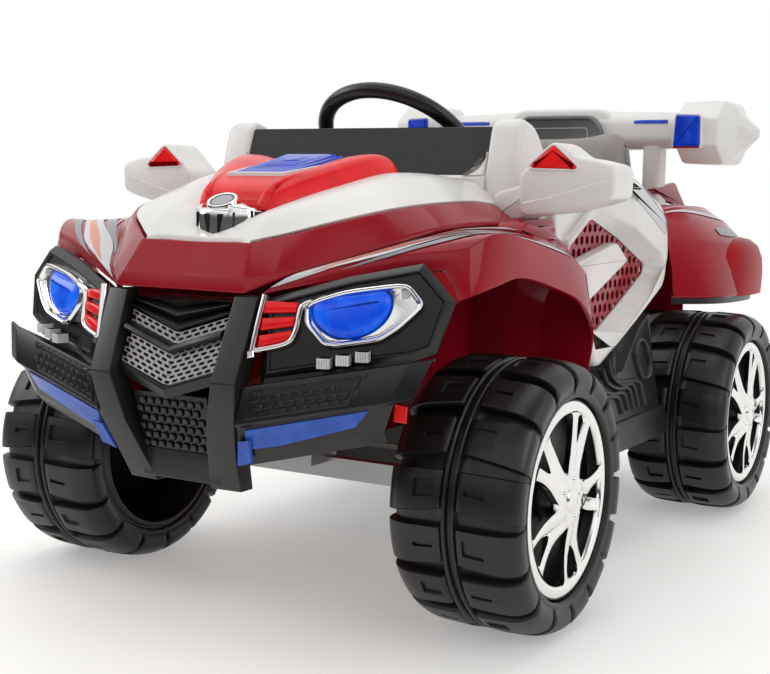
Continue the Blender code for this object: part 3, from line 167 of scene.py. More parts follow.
softbox("lamp_overhead", (-.3, .1, 2.6), (0, 0, .2), (2.4, 2.4), 21.0)
softbox("lamp_left", (-2.6, -1.2, 1.7), (0, 0, .3), (1.6, 1.4), 20.0)
softbox("lamp_right", (2.7, -.6, 1.3), (0, 0, .3), (1.2, 1.6), 10.0)

# %% [markdown]
# ## Shared surface effects
# Three effects come back on almost every piece, so each is a shader node group with named inputs.
# Moulding grain is the fine orange-peel of a plastic mould together with slow changes of tone.
# Scuffs are short, faint scratches. Floor dust settles low down and on faces that look up.


# %% Node group: moulding grain
def new_group(name, inputs, outputs):
    """An empty shader node group. Inputs are (name, default) pairs, and a Vector has no default."""
    group = bpy.data.node_groups.new(name, "ShaderNodeTree")
    for socket, default in inputs:
        kind = "NodeSocketVector" if default is None else "NodeSocketFloat"
        made = group.interface.new_socket(socket, in_out="INPUT", socket_type=kind)
        if default is not None:
            made.default_value = default
    for socket in outputs:
        group.interface.new_socket(socket, in_out="OUTPUT", socket_type="NodeSocketFloat")
    return group, group.nodes.new("NodeGroupInput"), group.nodes.new("NodeGroupOutput")


def noise(tree, vector, scale, detail=2.0, stretch=None):
    """A Noise texture, its scale a number or a socket, stretched along the axes if asked."""
    if stretch:
        mapping = new_node(tree, "ShaderNodeMapping", inputs={"Scale": stretch, "Vector": vector})
        vector = mapping.outputs["Vector"]
    inputs = {"Vector": vector, "Scale": scale, "Detail": detail}
    return new_node(tree, "ShaderNodeTexNoise", inputs=inputs).outputs["Fac"]


GRAIN, start, end = new_group("moulding_grain",
                              [("Vector", None), ("Grain Scale", 900.0), ("Tone Scale", 7.0)],
                              ["Grain", "Tone"])
grain = noise(GRAIN, start.outputs["Vector"], start.outputs["Grain Scale"], 1.0)
tone = noise(GRAIN, start.outputs["Vector"], start.outputs["Tone Scale"], 3.0)
GRAIN.links.new(grain, end.inputs["Grain"])
GRAIN.links.new(curve_between(GRAIN, tone, .3, .7), end.inputs["Tone"])
print("group:", GRAIN.name, "nodes:", len(GRAIN.nodes))

# %% Node group: scuffs
SCUFFS, start, end = new_group("handling_scuffs", [("Vector", None), ("Amount", .5)], ["Scuff"])
along = noise(SCUFFS, start.outputs["Vector"], 60.0, 2.0, (1, 12, 12))
across = noise(SCUFFS, start.outputs["Vector"], 60.0, 2.0, (12, 1, 9))
where = curve_between(SCUFFS, noise(SCUFFS, start.outputs["Vector"], 9.0, 2.0), .5, .72)
lines = math(SCUFFS, "MAXIMUM", curve_between(SCUFFS, along, .66, .74),
             curve_between(SCUFFS, across, .67, .75))
scuff = math(SCUFFS, "MULTIPLY", math(SCUFFS, "MULTIPLY", lines, where), start.outputs["Amount"])
SCUFFS.links.new(scuff, end.inputs["Scuff"])
print("group:", SCUFFS.name, "nodes:", len(SCUFFS.nodes))

# %% Node group: floor dust
DUST, start, end = new_group("floor_dust", [("Vector", None), ("Reach", .2)], ["Dust"])
place = new_node(DUST, "ShaderNodeSeparateXYZ", inputs={"Vector": start.outputs["Vector"]})
facing = new_node(DUST, "ShaderNodeNewGeometry").outputs["Normal"]
face = new_node(DUST, "ShaderNodeSeparateXYZ", inputs={"Vector": facing})
low_down = math(DUST, "SUBTRACT", 1.0, math(DUST, "DIVIDE", place.outputs["Z"], start.outputs["Reach"]))
looking_up = curve_between(DUST, face.outputs["Z"], .2, 1.0, .25, 1.0)
patchy = curve_between(DUST, noise(DUST, start.outputs["Vector"], 38.0, 4.0), .35, .75)
settled = math(DUST, "MULTIPLY", math(DUST, "MAXIMUM", low_down, .12), looking_up)
DUST.links.new(math(DUST, "MULTIPLY", settled, patchy), end.inputs["Dust"])
print("group:", DUST.name, "nodes:", len(DUST.nodes))

# %% [markdown]
# ## Finishes
# One function builds a moulded finish from its colour, gloss and grain, so that every plastic on the
# car shares the same build and differs only in its values. The colours are linear. Chrome is a
# metallic plating on plastic, so it keeps the faint ripple of the part below. Lamp glass is coloured
# clear plastic with fine ribs on the inside. The light it lets through is a faint painted glow, and
# the ribs are painted a little brighter as a painted highlight.


# %% The moulded finish
def group_node(tree, group, vector, **values):
    """A shader group at a place, with its inputs set by their names."""
    inputs = {socket.replace("_", " "): value for socket, value in values.items()}
    return new_node(tree, "ShaderNodeGroup", node_tree=group, inputs={"Vector": vector, **inputs})


def blend_colour(tree, factor, first, second):
    """A colour Mix. The factor is a socket, and a colour is a tuple or a socket."""
    first, second = ((*colour, 1.0) if isinstance(colour, tuple) else colour for colour in (first, second))
    node = new_node(tree, "ShaderNodeMix", data_type="RGBA", inputs={"Factor": factor, 6: first, 7: second})
    return node.outputs[2]


def start_material(name, **sockets):
    """A material with a Principled shader, whose plain sockets are set here."""
    material = bpy.data.materials.new(name)
    material.use_nodes = True
    tree = material.node_tree
    tree.nodes.clear()
    inputs = {socket.replace("_", " "): value for socket, value in sockets.items()}
    shader = new_node(tree, "ShaderNodeBsdfPrincipled", inputs=inputs)
    new_node(tree, "ShaderNodeOutputMaterial", inputs={"Surface": shader.outputs["BSDF"]})
    return material, tree, shader, new_node(tree, "ShaderNodeTexCoord").outputs["Object"]


def shader_bump(tree, shader, height, strength, distance):
    """A fine relief on the shader's surface."""
    bump = new_node(tree, "ShaderNodeBump",
                    inputs={"Strength": strength, "Distance": distance, "Height": height})
    tree.links.new(bump.outputs["Normal"], shader.inputs["Normal"])


DUST_COLOUR = (.33, .29, .25)


def moulded(name, colour, deep, gloss, rough, grain_size=900.0, grain_depth=.02, scuff=.5, dust=0.0,
            **sockets):
    """Moulded plastic: two tones, gloss to rough patches, grain, scuffs and some dust."""
    material, tree, shader, vector = start_material(name, **sockets)
    grain = group_node(tree, GRAIN, vector, Grain_Scale=grain_size)
    scuffs = group_node(tree, SCUFFS, vector, Amount=scuff)
    dusty = group_node(tree, DUST, vector)
    painted = blend_colour(tree, grain.outputs["Tone"], deep, colour)
    dust_share = math(tree, "MULTIPLY", dusty.outputs["Dust"], dust)
    tree.links.new(blend_colour(tree, dust_share, painted, DUST_COLOUR), shader.inputs["Base Color"])
    even = curve_between(tree, grain.outputs["Tone"], 0.0, 1.0, gloss, rough)
    worn = math(tree, "ADD", even, math(tree, "MULTIPLY", scuffs.outputs["Scuff"], .25))
    tree.links.new(math(tree, "ADD", worn, math(tree, "MULTIPLY", dust_share, .5)),
                   shader.inputs["Roughness"])
    relief = math(tree, "SUBTRACT", grain.outputs["Grain"],
                  math(tree, "MULTIPLY", scuffs.outputs["Scuff"], .8))
    shader_bump(tree, shader, relief, .35, grain_depth / 1000)
    return material


print("dust colour:", DUST_COLOUR)

# %% Sixteen moulded finishes
RED = moulded("crimson_gloss", (.33, .005, .015), (.285, .004, .012), .12, .19, 700.0, .02, .4, .01,
              Specular_IOR_Level=.3)
WHITE = moulded("white_gloss", (.8, .785, .76), (.755, .738, .712), .2, .3, 700.0, .03, .4, .02)
BLACK = moulded("black_satin", (.006, .0058, .0057), (.004, .0039, .0038), .26, .36, 1500.0, .04, .7, .02)
CHARCOAL = moulded("charcoal_satin", (.015, .0142, .0132), (.0115, .0108, .01), .34, .46, 1600.0, .05, .8,
                   .03)
TYRE = moulded("tyre_plastic", (.0085, .0068, .0064), (.0055, .0044, .0042), .3, .42, 1300.0, .05, .9, .03)
SEAT_GREY = moulded("seat_plastic", (.285, .262, .24), (.25, .23, .21), .38, .5, 1400.0, .06, .6, .03)
SILVER = moulded("silver_paint", (.42, .41, .4), (.36, .35, .34), .28, .38, 1800.0, .03, .5, 0.0,
                 Metallic=.6)
MESH_SILVER = moulded("mesh_paint", (.4, .39, .38), (.32, .31, .3), .26, .34, 1800.0, .02, .3, 0.0,
                      Metallic=.5)
CHROME = moulded("chrome_plating", (.86, .855, .84), (.8, .795, .78), .045, .09, 420.0, .02, .5, 0.0,
                 Metallic=1.0)
STEEL = moulded("bare_steel", (.42, .42, .42), (.34, .34, .34), .3, .42, 1100.0, .02, 1.0, .05,
                Metallic=1.0)
# Dark maroon for the sheet behind the honeycomb: painted shade.
PAINTED_SHADE_MAROON = moulded("maroon_plastic", (.075, .004, .007), (.055, .003, .0055), .28, .4, 900.0, .03, .4, .02)
RED_DEEP = moulded("deep_crimson", (.42, .0035, .009), (.3, .0025, .0065), .3, .4, 700.0, .02, .4, .01,
                   Specular_IOR_Level=.12)
HEADREST_GREY = moulded("headrest_paint", (.235, .235, .245), (.18, .18, .19), .26, .36, 1600.0, .03, .4,
                        0.0, Metallic=.5)
STICKER_PALE = moulded("sticker_pale", (.66, .65, .66), (.58, .57, .58), .18, .28, 500.0, .01, .5, 0.0)
STICKER_GREY = moulded("sticker_grey", (.27, .27, .29), (.2, .2, .22), .18, .28, 500.0, .01, .5, 0.0)
STICKER_AMBER = moulded("sticker_amber", (.72, .28, .19), (.6, .18, .12), .18, .28, 500.0, .01, .5, 0.0)
print("moulded finishes:",
      sorted(m.name for m in bpy.data.materials if m.use_nodes and len(m.node_tree.nodes) > 8))


# %% Node group: the prism grid inside a lamp glass
PRISMS, start, end = new_group("lamp_prisms", [("Vector", None), ("Across", 90.0), ("Along", 0.0)],
                               ["Prism"])
waves = []
for axis, socket in (("X", "Across"), ("Y", "Along")):
    inputs = {"Vector": start.outputs["Vector"], "Scale": start.outputs[socket]}
    wave = new_node(PRISMS, "ShaderNodeTexWave", wave_type="BANDS", bands_direction=axis, inputs=inputs)
    waves.append(wave.outputs["Fac"])
PRISMS.links.new(math(PRISMS, "MULTIPLY", *waves), end.inputs["Prism"])
print("group:", PRISMS.name, "nodes:", len(PRISMS.nodes))


# %% Lamp glass
def lamp_glass(name, colour, deep, across, along, depth, glow=0.0, **sockets):
    """Clear coloured plastic with prisms moulded inside, painted a little brighter than the rest as a
    painted highlight, with a faint painted glow if asked.
    """
    sockets = {"Roughness": .1, "IOR": 1.49, "Specular_IOR_Level": .35, **sockets}
    material, tree, shader, vector = start_material(name, **sockets)
    grain = group_node(tree, GRAIN, vector, Tone_Scale=34.0)
    prisms = group_node(tree, PRISMS, vector, Across=across, Along=along)
    mixed = blend_colour(tree, grain.outputs["Tone"], deep, colour)
    # The prisms are painted a little brighter than the glass: a painted highlight.
    share = math(tree, "MULTIPLY", prisms.outputs["Prism"], .45 if along else .25)
    colour_with_painted_light = blend_colour(tree, share, mixed, tuple(min(1.0, 1.5 * value + .01) for value in colour))
    tree.links.new(colour_with_painted_light, shader.inputs["Base Color"])
    # A painted glow: the glass gives off a little light of its own.
    if glow:
        tree.links.new(colour_with_painted_light, shader.inputs["Emission Color"])
        shader.inputs["Emission Strength"].default_value = glow
    shader_bump(tree, shader, prisms.outputs["Prism"], .4, depth)
    return material


# A seventh number, where given, is the glass's painted glow.
BLUE_GLASS = lamp_glass("blue_lamp_glass", (.006, .052, .56), (.004, .03, .4), 90.0, 0.0, .0002, .1)
HEAD_GLASS = lamp_glass("blue_headlight_glass", (.01, .14, .88), (.004, .06, .62), 150.0, 0.0, .0002, .3)
STRIP_GLASS = lamp_glass("blue_strip_glass", (.04, .11, .48), (.02, .07, .36), 260.0, 0.0, .0006, .05)
RED_GLASS = lamp_glass("red_lamp_glass", (.8, .014, .014), (.66, .008, .01), 110.0, 0.0, .0002, .12)
DOME_GLASS = lamp_glass("red_dome_glass", (.74, .008, .012), (.56, .005, .008), 190.0, 190.0, .0003, .15)
CLEAR_LAMP = lamp_glass("clear_lamp_glass", (.66, .66, .66), (.42, .42, .43), 260.0, 0.0, .0003)
DARK_GLASS = lamp_glass("dark_windshield", (.01, .0095, .01), (.007, .0065, .007), 2.0, 0.0, 0.0,
                        Roughness=.04, Specular_IOR_Level=.5)
print("lamp glasses:", BLUE_GLASS.name, RED_GLASS.name, DARK_GLASS.name)

# %% [markdown]
# ## Making pieces
# Every finished piece sits at the origin with its place in its mesh, as the CAD nodes do, and then
# rides on a body of the model. The CAD solids have sharp edges. A moulded part never has, so some
# pieces start as a welded copy of their CAD node, get their flat areas joined into whole faces, and
# then a small bevel on each edge.


# %% Mesh helpers
def mesh_of(bm, name="shape"):
    """The mesh of a bmesh, which is used up by it."""
    mesh = bpy.data.meshes.new(name)
    bm.to_mesh(mesh)
    bm.free()
    return mesh


def finished(shape):
    """The mesh of a drawn shape, with corners that fall together merged. A mesh is left as it is."""
    if isinstance(shape, bpy.types.Mesh):
        return shape
    bmesh.ops.remove_doubles(shape, verts=shape.verts, dist=1e-6)
    return mesh_of(shape)


def add(bm, other):
    """Put a second bmesh into the first."""
    bm.from_mesh(mesh_of(other))


def quads(bm, rings, closed_ring=True, closed_row=False, turned=False):
    """Faces between each ring of corners and the next. Turned ones list their corners the other way."""
    faces = []
    for first, second in zip(rings, rings[1:] + (rings[:1] if closed_row else [])):
        for i in range(len(first) - (0 if closed_ring else 1)):
            j = (i + 1) % len(first)
            corners = [first[i], first[j], second[j], second[i]]
            if turned:
                corners[1:] = reversed(corners[1:])
            faces.append(bm.faces.new(corners))
    return faces


FLAT = 1


def shade(mesh, angle=34):
    """Smooth shading, crisp at edges sharper than the angle. A flat end, marked FLAT, stays flat."""
    mesh.shade_smooth()
    for face in mesh.polygons:
        face.use_smooth = face.material_index != FLAT
        face.material_index = 0
    mesh.set_sharp_from_angle(angle=radians(angle))


print("mesh helpers ready")

# %% Pieces on their bodies
MADE = []


def show(title, count=1):
    """Print the last pieces with the number of their faces."""
    print(title + ":", {obj.name: len(obj.data.polygons) for obj in MADE[-count:]})


def piece(name, shape, material, slot=None, stands_for=(), angle=34, body="root"):
    """A finished piece of the car, riding on its body. The shape is a bmesh or a mesh."""
    mesh = finished(shape)
    mesh.name = name
    shade(mesh, angle)
    mesh.materials.clear()
    mesh.materials.append(material)
    obj = bpy.data.objects.new(name, mesh)
    bpy.context.scene.collection.objects.link(obj)
    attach(obj, body)
    if stands_for:
        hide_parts(*stands_for)
    MADE.append(obj)
    return obj


def welded(node):
    """A copy of a CAD node as a clean bmesh: corners merged, flat areas joined."""
    bm = bmesh.new()
    bm.from_mesh(NODES[node].data)
    bmesh.ops.remove_doubles(bm, verts=bm.verts, dist=2e-6)
    bmesh.ops.dissolve_limit(bm, angle_limit=radians(.6), verts=bm.verts, edges=bm.edges)
    return bm


def bevelled(bm, width, segments=2, angle=24):
    """Round every edge that turns by more than the angle."""
    bm.normal_update()
    edges = [e for e in bm.edges if e.is_manifold and e.calc_face_angle(0.0) > radians(angle)]
    bmesh.ops.bevel(bm, geom=edges, offset=width, offset_type="OFFSET", segments=segments, profile=.6,
                    affect="EDGES", clamp_overlap=True, harden_normals=False)
    return bm


def softened(node, width, material, slot, body="root", segments=2, angle=24):
    """The moulded piece that stands for a CAD node: the same form with rounded edges."""
    mesh = mesh_of(bevelled(welded(node), width, segments, angle), node)
    return piece(node + "_moulding", mesh, material, slot, (node,), body=body)


# %% [markdown]
# ## Geometry Nodes: one sector repeated round an axle
# A tyre and its hub cap are the same few lugs and spokes over and over. Modelling one sector and
# letting Geometry Nodes turn copies round the axle keeps the shape easy to change. The tree ends in
# Realize Instances, a weld of the seams between sectors, and Set Material.


# %% Tree: repeat round the axle
def new_tree(name, inputs):
    """A Geometry Nodes tree with a geometry input and output and the named inputs."""
    tree = bpy.data.node_groups.new(name, "GeometryNodeTree")
    tree.interface.new_socket("Geometry", in_out="INPUT", socket_type="NodeSocketGeometry")
    for socket, kind in inputs:
        tree.interface.new_socket(socket, in_out="INPUT", socket_type="NodeSocket" + kind)
    tree.interface.new_socket("Geometry", in_out="OUTPUT", socket_type="NodeSocketGeometry")
    return tree, tree.nodes.new("NodeGroupInput"), tree.nodes.new("NodeGroupOutput")


def copies_on(tree, given, end, points, weld, rotation=None):
    """Copy the geometry to the points, make it real, weld it and set its finish."""
    node = new_node(tree, "GeometryNodeInstanceOnPoints",
                    inputs={"Points": points, "Instance": given["Geometry"]})
    if rotation:
        tree.links.new(rotation, node.inputs["Rotation"])
    for kind, inputs in (("RealizeInstances", {}), ("MergeByDistance", {"Distance": weld}),
                         ("SetMaterial", {"Material": given["Finish"]})):
        node = new_node(tree, "GeometryNode" + kind, inputs={"Geometry": node.outputs[0], **inputs})
    tree.links.new(node.outputs["Geometry"], end.inputs["Geometry"])


def round_axle_tree():
    """Copies of a sector, each turned on from the last by an equal share of the circle."""
    tree, start, end = new_tree("repeat_round_axle",
                                [("Count", "Int"), ("Weld", "Float"), ("Finish", "Material")])
    given = start.outputs
    points = new_node(tree, "GeometryNodePoints", inputs={"Count": given["Count"]})
    index = new_node(tree, "GeometryNodeInputIndex").outputs["Index"]
    angle = math(tree, "MULTIPLY", index, math(tree, "DIVIDE", 2 * pi, given["Count"]))
    turn = new_node(tree, "ShaderNodeCombineXYZ", inputs={"X": angle})
    euler = new_node(tree, "FunctionNodeEulerToRotation", inputs={"Euler": turn.outputs["Vector"]})
    copies_on(tree, given, end, points.outputs["Points"], given["Weld"], euler.outputs["Rotation"])
    return tree


def grown(mesh, tree, **values):
    """Run a tree on a mesh and give back the result as a plain mesh."""
    carrier = bpy.data.objects.new("carrier", mesh)
    bpy.context.scene.collection.objects.link(carrier)
    modifier = carrier.modifiers.new("nodes", "NODES")
    modifier.node_group = tree
    identifiers = {item.name: item.identifier for item in tree.interface.items_tree
                   if item.in_out == "INPUT"}
    for socket, value in values.items():
        modifier[identifiers[socket.replace("_", " ")]] = value
    graph = bpy.context.evaluated_depsgraph_get()
    result = bpy.data.meshes.new_from_object(carrier.evaluated_get(graph))
    bpy.data.objects.remove(carrier)
    return result


ROUND_AXLE = round_axle_tree()
print("tree:", ROUND_AXLE.name, "nodes:", len(ROUND_AXLE.nodes))

# %% [markdown]
# ## Tyres
# These are not rubber: each wheel is a hollow blow-moulding of hard black-brown plastic. The mould
# parts down the middle of the tread, which leaves the groove between two thin beads. The shoulder
# lugs are wide blocks with rounded walls. The section is drawn twice, once in a groove and once on a
# lug, and each column of the grid lies somewhere between the two. Blow-moulded walls are never sharp,
# so a wall of a lug takes four columns.

# %% Section of the tyre, in the groove and on the lug
TYRE_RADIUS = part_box("wheel_front_left")[1].z / 2
TYRE_HALF = (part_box("wheel_front_left")[1].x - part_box("wheel_front_left")[0].x) / 2
LUG_PITCH = 2 * pi / 16
LUG_SKEW = .2
POCKET_DEPTH = .0034
GROOVE_EXTRA = .0036
# x, drop below the tread in a groove, drop on a lug, share of the pocket
TREAD_LINES = [
    (0, .0062, .0062, 0), (.0022, .0062, .0062, 0), (.0034, .002, .002, 0), (.0046, .001, .001, 0),
    (.0066, .001, .001, 0), (.0078, .0022, .0022, 0), (.0088, .006, .005, 0), (.0104, .0075, .0022, 0),
    (.012, .008, .0006, 0), (.015, .0082, .0002, 0), (.018, .0083, 0, 0), (.0194, .0083, 0, 1),
    (.03, .0085, .0003, 1), (.042, .0088, .0007, 1), (.0434, .0088, .0007, 0), (.05, .0092, .0012, 0),
    (.057, .01, .002, 0), (.063, .0116, .0036, 0), (.069, .0142, .006, 0), (.0735, .0172, .0088, 0),
]
# the shoulder turns down here: (x in a groove, x on a lug, drop in a groove, drop on a lug)
SHOULDER_LINES = [
    (.0758, .078, .021, .0128), (.0768, .0804, .025, .0175), (.0773, .081, .0285, .0225),
    (.0776, .0806, .0315, .0275), (.0778, .0792, .034, .0318), (.0779, .0782, .0352, .0344),
]
# the outer side goes on to the lip, the recess behind the hub cap and the bore: (x, radius)
OUTER_LINES = [
    (.0782, .124), (.0786, .123), (.0786, .1218), (.078, .1206), (.0776, .1192), (.0768, .1182),
    (.075, .1178), (.069, .1176), (.06, .117), (.05, .113), (.044, .098), (.043, .05), (.048, .034),
    (.064, .03), (.066, .028), (.0665, .008), (.066, .0063),
]
# the inner side has a rolled rim and the open drum round the hub tube
INNER_LINES = [
    (-.078, .124), (-.0776, .1215), (-.0762, .1198), (-.0748, .1185), (-.075, .1165), (-.0772, .115),
    (-.079, .1135), (-.0796, .1112), (-.0788, .109), (-.077, .1078), (-.05, .1062), (0, .1035),
    (.026, .099), (.036, .09), (.039, .06), (.038, .03), (.036, .02), (.016, .0172), (.0152, .0165),
    (.015, .0063),
]
print("tyre radius", round(TYRE_RADIUS, 4), "half width", round(TYRE_HALF, 4))


# %% One sector of two lugs, repeated eight times
def lug_columns():
    """(place in the pitch, height share, share of the wide pocket, share of the narrow slot)."""
    wall = ((.15, 0), (.157, .3), (.168, .85), (.182, 1))
    flat = ((.26, 0, 0), (.335, 0, 0), (.349, 1, 0), (.41, 1, 0), (.462, 1, 0), (.474, 1, 1), (.5, 1, 1),
            (.526, 1, 1), (.538, 1, 0), (.602, 1, 0), (.616, 0, 0), (.72, 0, 0))
    columns = [(0, 0, 0, 0), (.075, 0, 0, 0)]
    columns += [(place, height, 0, 0) for place, height in wall]
    columns += [(place, 1.0, pocket, slot) for place, pocket, slot in flat]
    columns += [(1.0 - place, height, 0, 0) for place, height in reversed(wall)]
    return columns + [(.925, 0, 0, 0)]


def skewed(place, x):
    """Lug walls slant, and more so on the trailing side, so the grooves are wedges."""
    inside = min(max((place - .15) / .7, 0.0), 1.0)
    lean = inside if place <= .85 else (1.0 - place) / .15 * .85 + .15 * (1.0 - place) / .15
    return LUG_SKEW * (.15 + .85 * max(lean, 0.0)) * abs(x) / TYRE_HALF


def tyre_ring(place, height, pocket, slot, lug, side):
    """The points (x, radius, angle place) of one half of the tyre, from the middle to its rim."""
    ring = []
    for x, groove, crest, sunk in TREAD_LINES:
        hollow = sunk * (pocket if lug % 2 == 0 else slot) * POCKET_DEPTH
        groove += GROOVE_EXTRA * min(max((x - .007) / .006, 0.0), 1.0)
        drop = groove + (crest + hollow - groove) * height
        ring.append((side * x, TYRE_RADIUS - drop, skewed(place, x)))
    for x_groove, x_lug, groove, crest in SHOULDER_LINES:
        x = x_groove + (x_lug - x_groove) * height
        groove += GROOVE_EXTRA
        ring.append((side * x, TYRE_RADIUS - groove + (groove - crest) * height, skewed(place, x)))
    return ring


def tyre_sector():
    """Two lugs of the tyre: rings of points across the section, one ring for each column."""
    bm = bmesh.new()
    rings = []
    columns = [(lug, *column) for lug in (0, 1) for column in lug_columns()] + [(2, 0, 0, 0, 0)]
    for lug, place, height, pocket, slot in columns:
        lean = skewed(place, TYRE_HALF)
        outer = tyre_ring(place, height, pocket, slot, lug, 1)
        outer += [(x, radius, lean) for x, radius in OUTER_LINES]
        inner = tyre_ring(place, height, pocket, slot, lug + 1, -1)[1:]
        inner += [(x, radius, lean) for x, radius in INNER_LINES]
        ring = []
        for x, radius, lean in list(reversed(inner)) + outer:
            angle = (lug + place + lean) * LUG_PITCH
            ring.append(bm.verts.new((x, radius * cos(angle), radius * sin(angle))))
        rings.append(ring)
    quads(bm, rings, turned=True)
    return mesh_of(bm, "tyre_sector")


print("tyre columns:", len(lug_columns()))


# %% Tyres on their wheels
def placed(mesh, middle, flipped=False):
    """A copy of a mesh moved to middle. A flipped one is its mirror image, left for right."""
    bm = bmesh.new()
    bm.from_mesh(mesh)
    if flipped:
        bmesh.ops.scale(bm, vec=(-1, 1, 1), verts=bm.verts)
    bmesh.ops.translate(bm, vec=middle, verts=bm.verts)
    bmesh.ops.recalc_face_normals(bm, faces=bm.faces)
    return mesh_of(bm, mesh.name)


WHEELS = {}
for node in ("wheel_front_left", "wheel_front_right", "wheel_rear_left", "wheel_rear_right"):
    low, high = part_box(node)
    WHEELS[node] = (low + high) / 2


def on_wheels(mesh, kind, node_kind, material, slot, angle):
    """The same mesh on all four wheels. The right ones are mirrored."""
    for node, middle in WHEELS.items():
        body = node.replace("wheel_", "") + "_wheel"
        shape = placed(mesh, middle, "right" in node)
        stands_for = (node.replace("wheel", node_kind),)
        piece(node.replace("wheel", kind), shape, material, slot, stands_for, angle, body)


tyre_mesh = grown(tyre_sector(), ROUND_AXLE, Count=8, Weld=1e-5, Finish=TYRE)
on_wheels(tyre_mesh, "tyre", "wheel", TYRE, "tyre_plastic", 38)

# %% [markdown]
# ## Hub caps
# A hub cap is one thin moulding, chrome plated. Five arms swirl from the hub to the rim, each split by
# a pocket near its outer end, with a wide dark window between one arm and the next. The arm is drawn
# as rows at growing radius. Each row knows the angles of its two edges and of its pocket.

# %% One arm of the hub cap
CAP_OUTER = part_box("hub_cap_front_left")[1].z - WHEELS["wheel_front_left"].z
CAP_WALL = .007
ARM_TURN = radians(72)
# radius, angle of the two edges, angle of the pocket's edges, height of the face (degrees, metres)
ARM_ROWS = [
    (.03, -62, 8, -27, -27, .077), (.035, -60.5, -1, -30, -30, .0762), (.04, -59, -8, -33, -33, .0752),
    (.046, -58, -14, -36, -36, .0742), (.053, -57, -18.5, -38, -38, .0734),
    (.06, -56.3, -20.5, -38.5, -38, .0728), (.064, -56, -21.3, -40.5, -36, .0726),
    (.068, -55.5, -21.8, -42, -33.5, .0724), (.076, -54.6, -22.2, -43.2, -32, .0722),
    (.085, -53.6, -22, -44, -31, .0722), (.093, -52.8, -21.5, -44.4, -30.2, .0724),
    (.0965, -53, -20.8, -44, -30.4, .0725), (.099, -54.4, -19.2, -41.5, -33, .0727),
    (.1006, -57.6, -16, -37.5, -37, .0729),
]
STRIP = (0, .1, .28, .5, .72, .9, 1)
# the rim ring and the boss, both as (place along the axle, radius)
CAP_RIM = [(.0665, .099), (.0715, .0996), (.0732, .101), (.0741, .1035), (.0744, .1065), (.0742, .11),
           (.0735, .1128), (.0722, .1148), (.0705, .1158), (.068, CAP_OUTER)]
CAP_RIM_STEPS = 16
CAP_ARM_END = .0985
CAP_BOSS = [(.069, .0345), (.0745, .0338), (.0768, .0322), (.078, .0295), (.0784, .023), (.0776, .0175),
            (.0778, .015), (.0796, .0138), (.0806, .011), (.081, .006), (.081, .0001)]
CAP_BOSS_STEPS = 40
NUT_PLACE, NUT_CIRCLE, NUT_RADIUS = .077, .024, .004


def arm_height(face, share, lean):
    """A strip of an arm is crowned and leans to one side, like a blade."""
    return face + .0016 * (1.0 - (2 * share - 1.0) ** 2) - lean * share


def arm_rows():
    """Points of the arm's face, a left and a right strip beside its pocket."""
    rows = []
    for radius, low, high, pocket_low, pocket_high, face in ARM_ROWS:
        strips = []
        for start_angle, end_angle, lean in ((low, pocket_low, .003), (high, pocket_high, -.0004)):
            points = []
            for share in STRIP:
                angle = radians(start_angle + (end_angle - start_angle) * share)
                x = arm_height(face, share, lean * min((radius - .03) / .04, 1.0))
                points.append(Vector((x, radius * cos(angle), radius * sin(angle))))
            strips.append(points)
        rows.append(strips)
    return rows


print("arm rows:", len(ARM_ROWS))


# %% Hub caps on their wheels
def turned_round(bm, profile, turn, steps):
    """Rings of the profile (place along the axle, radius), one at each step of the turn round the axle."""
    rings = []
    for step in range(steps):
        angle = turn * step
        rings.append([bm.verts.new((x, radius * cos(angle), radius * sin(angle))) for x, radius in profile])
    return rings


def cap_sector():
    """One arm with its walls, and its fifth of the rim ring."""
    bm = bmesh.new()
    rows = arm_rows()
    for side in (0, 1):
        quads(bm, [[bm.verts.new(point) for point in strips[side]] for strips in rows], False, turned=True)
    bmesh.ops.remove_doubles(bm, verts=bm.verts, dist=.0004)
    quads(bm, turned_round(bm, CAP_RIM, ARM_TURN / CAP_RIM_STEPS, CAP_RIM_STEPS + 1), False, turned=True)
    bmesh.ops.recalc_face_normals(bm, faces=bm.faces)
    rim = [e for e in bm.edges if e.is_boundary and max(v.co.yz.length for v in e.verts) < CAP_ARM_END]
    walls = bmesh.ops.extrude_edge_only(bm, edges=rim)["geom"]
    for vert in (v for v in walls if isinstance(v, bmesh.types.BMVert)):
        vert.co.x -= CAP_WALL
    return mesh_of(bm, "cap_sector")


def cap_hub(bm):
    """The hub: a domed boss with a bare middle and five nut caps."""
    quads(bm, turned_round(bm, CAP_BOSS, 2 * pi / CAP_BOSS_STEPS, CAP_BOSS_STEPS), False, True, True)
    for index in range(5):
        angle = ARM_TURN * index + radians(-25)
        middle = Matrix.Translation((NUT_PLACE, NUT_CIRCLE * cos(angle), NUT_CIRCLE * sin(angle)))
        bmesh.ops.create_uvsphere(bm, u_segments=12, v_segments=8, radius=NUT_RADIUS, matrix=middle)


cap_arms = grown(cap_sector(), ROUND_AXLE, Count=5, Weld=2e-5, Finish=CHROME)
bm = bmesh.new()
bm.from_mesh(cap_arms)
cap_hub(bm)
bmesh.ops.rotate(bm, matrix=Matrix.Rotation(radians(34), 3, "X"), verts=bm.verts)
cap_mesh = mesh_of(bm, "cap")
on_wheels(cap_mesh, "cap", "hub_cap", CHROME, "chrome", 40)
print("cap faces:", len(cap_mesh.polygons))

# %% [markdown]
# ## Drawing tools for the shells
# Most of the body is thin shells that follow a few long lines: the edge of the hood, the crease of a
# fender, the outline of a frame. So each piece starts from its lines, in places counted from the
# front or rear axle. A smooth curve runs through them, a skin is stretched between them and gets the
# thickness of a moulding. Flat pieces start from an outline and are built up in rings, each a little
# smaller, which gives the soft rounded edge of a moulded part.


# %% Curves, rings and skins
def fore(x, y, z):
    """A place counted from the front axle."""
    return Vector((x, WHEELS["wheel_front_left"].y + y, z))


def aft(x, y, z):
    """A place counted from the rear axle."""
    return Vector((x, WHEELS["wheel_rear_left"].y + y, z))


def on_side(u, v, h):
    """A place on the side of the car: backward from the front axle, up and outward."""
    return fore(h, u, v)


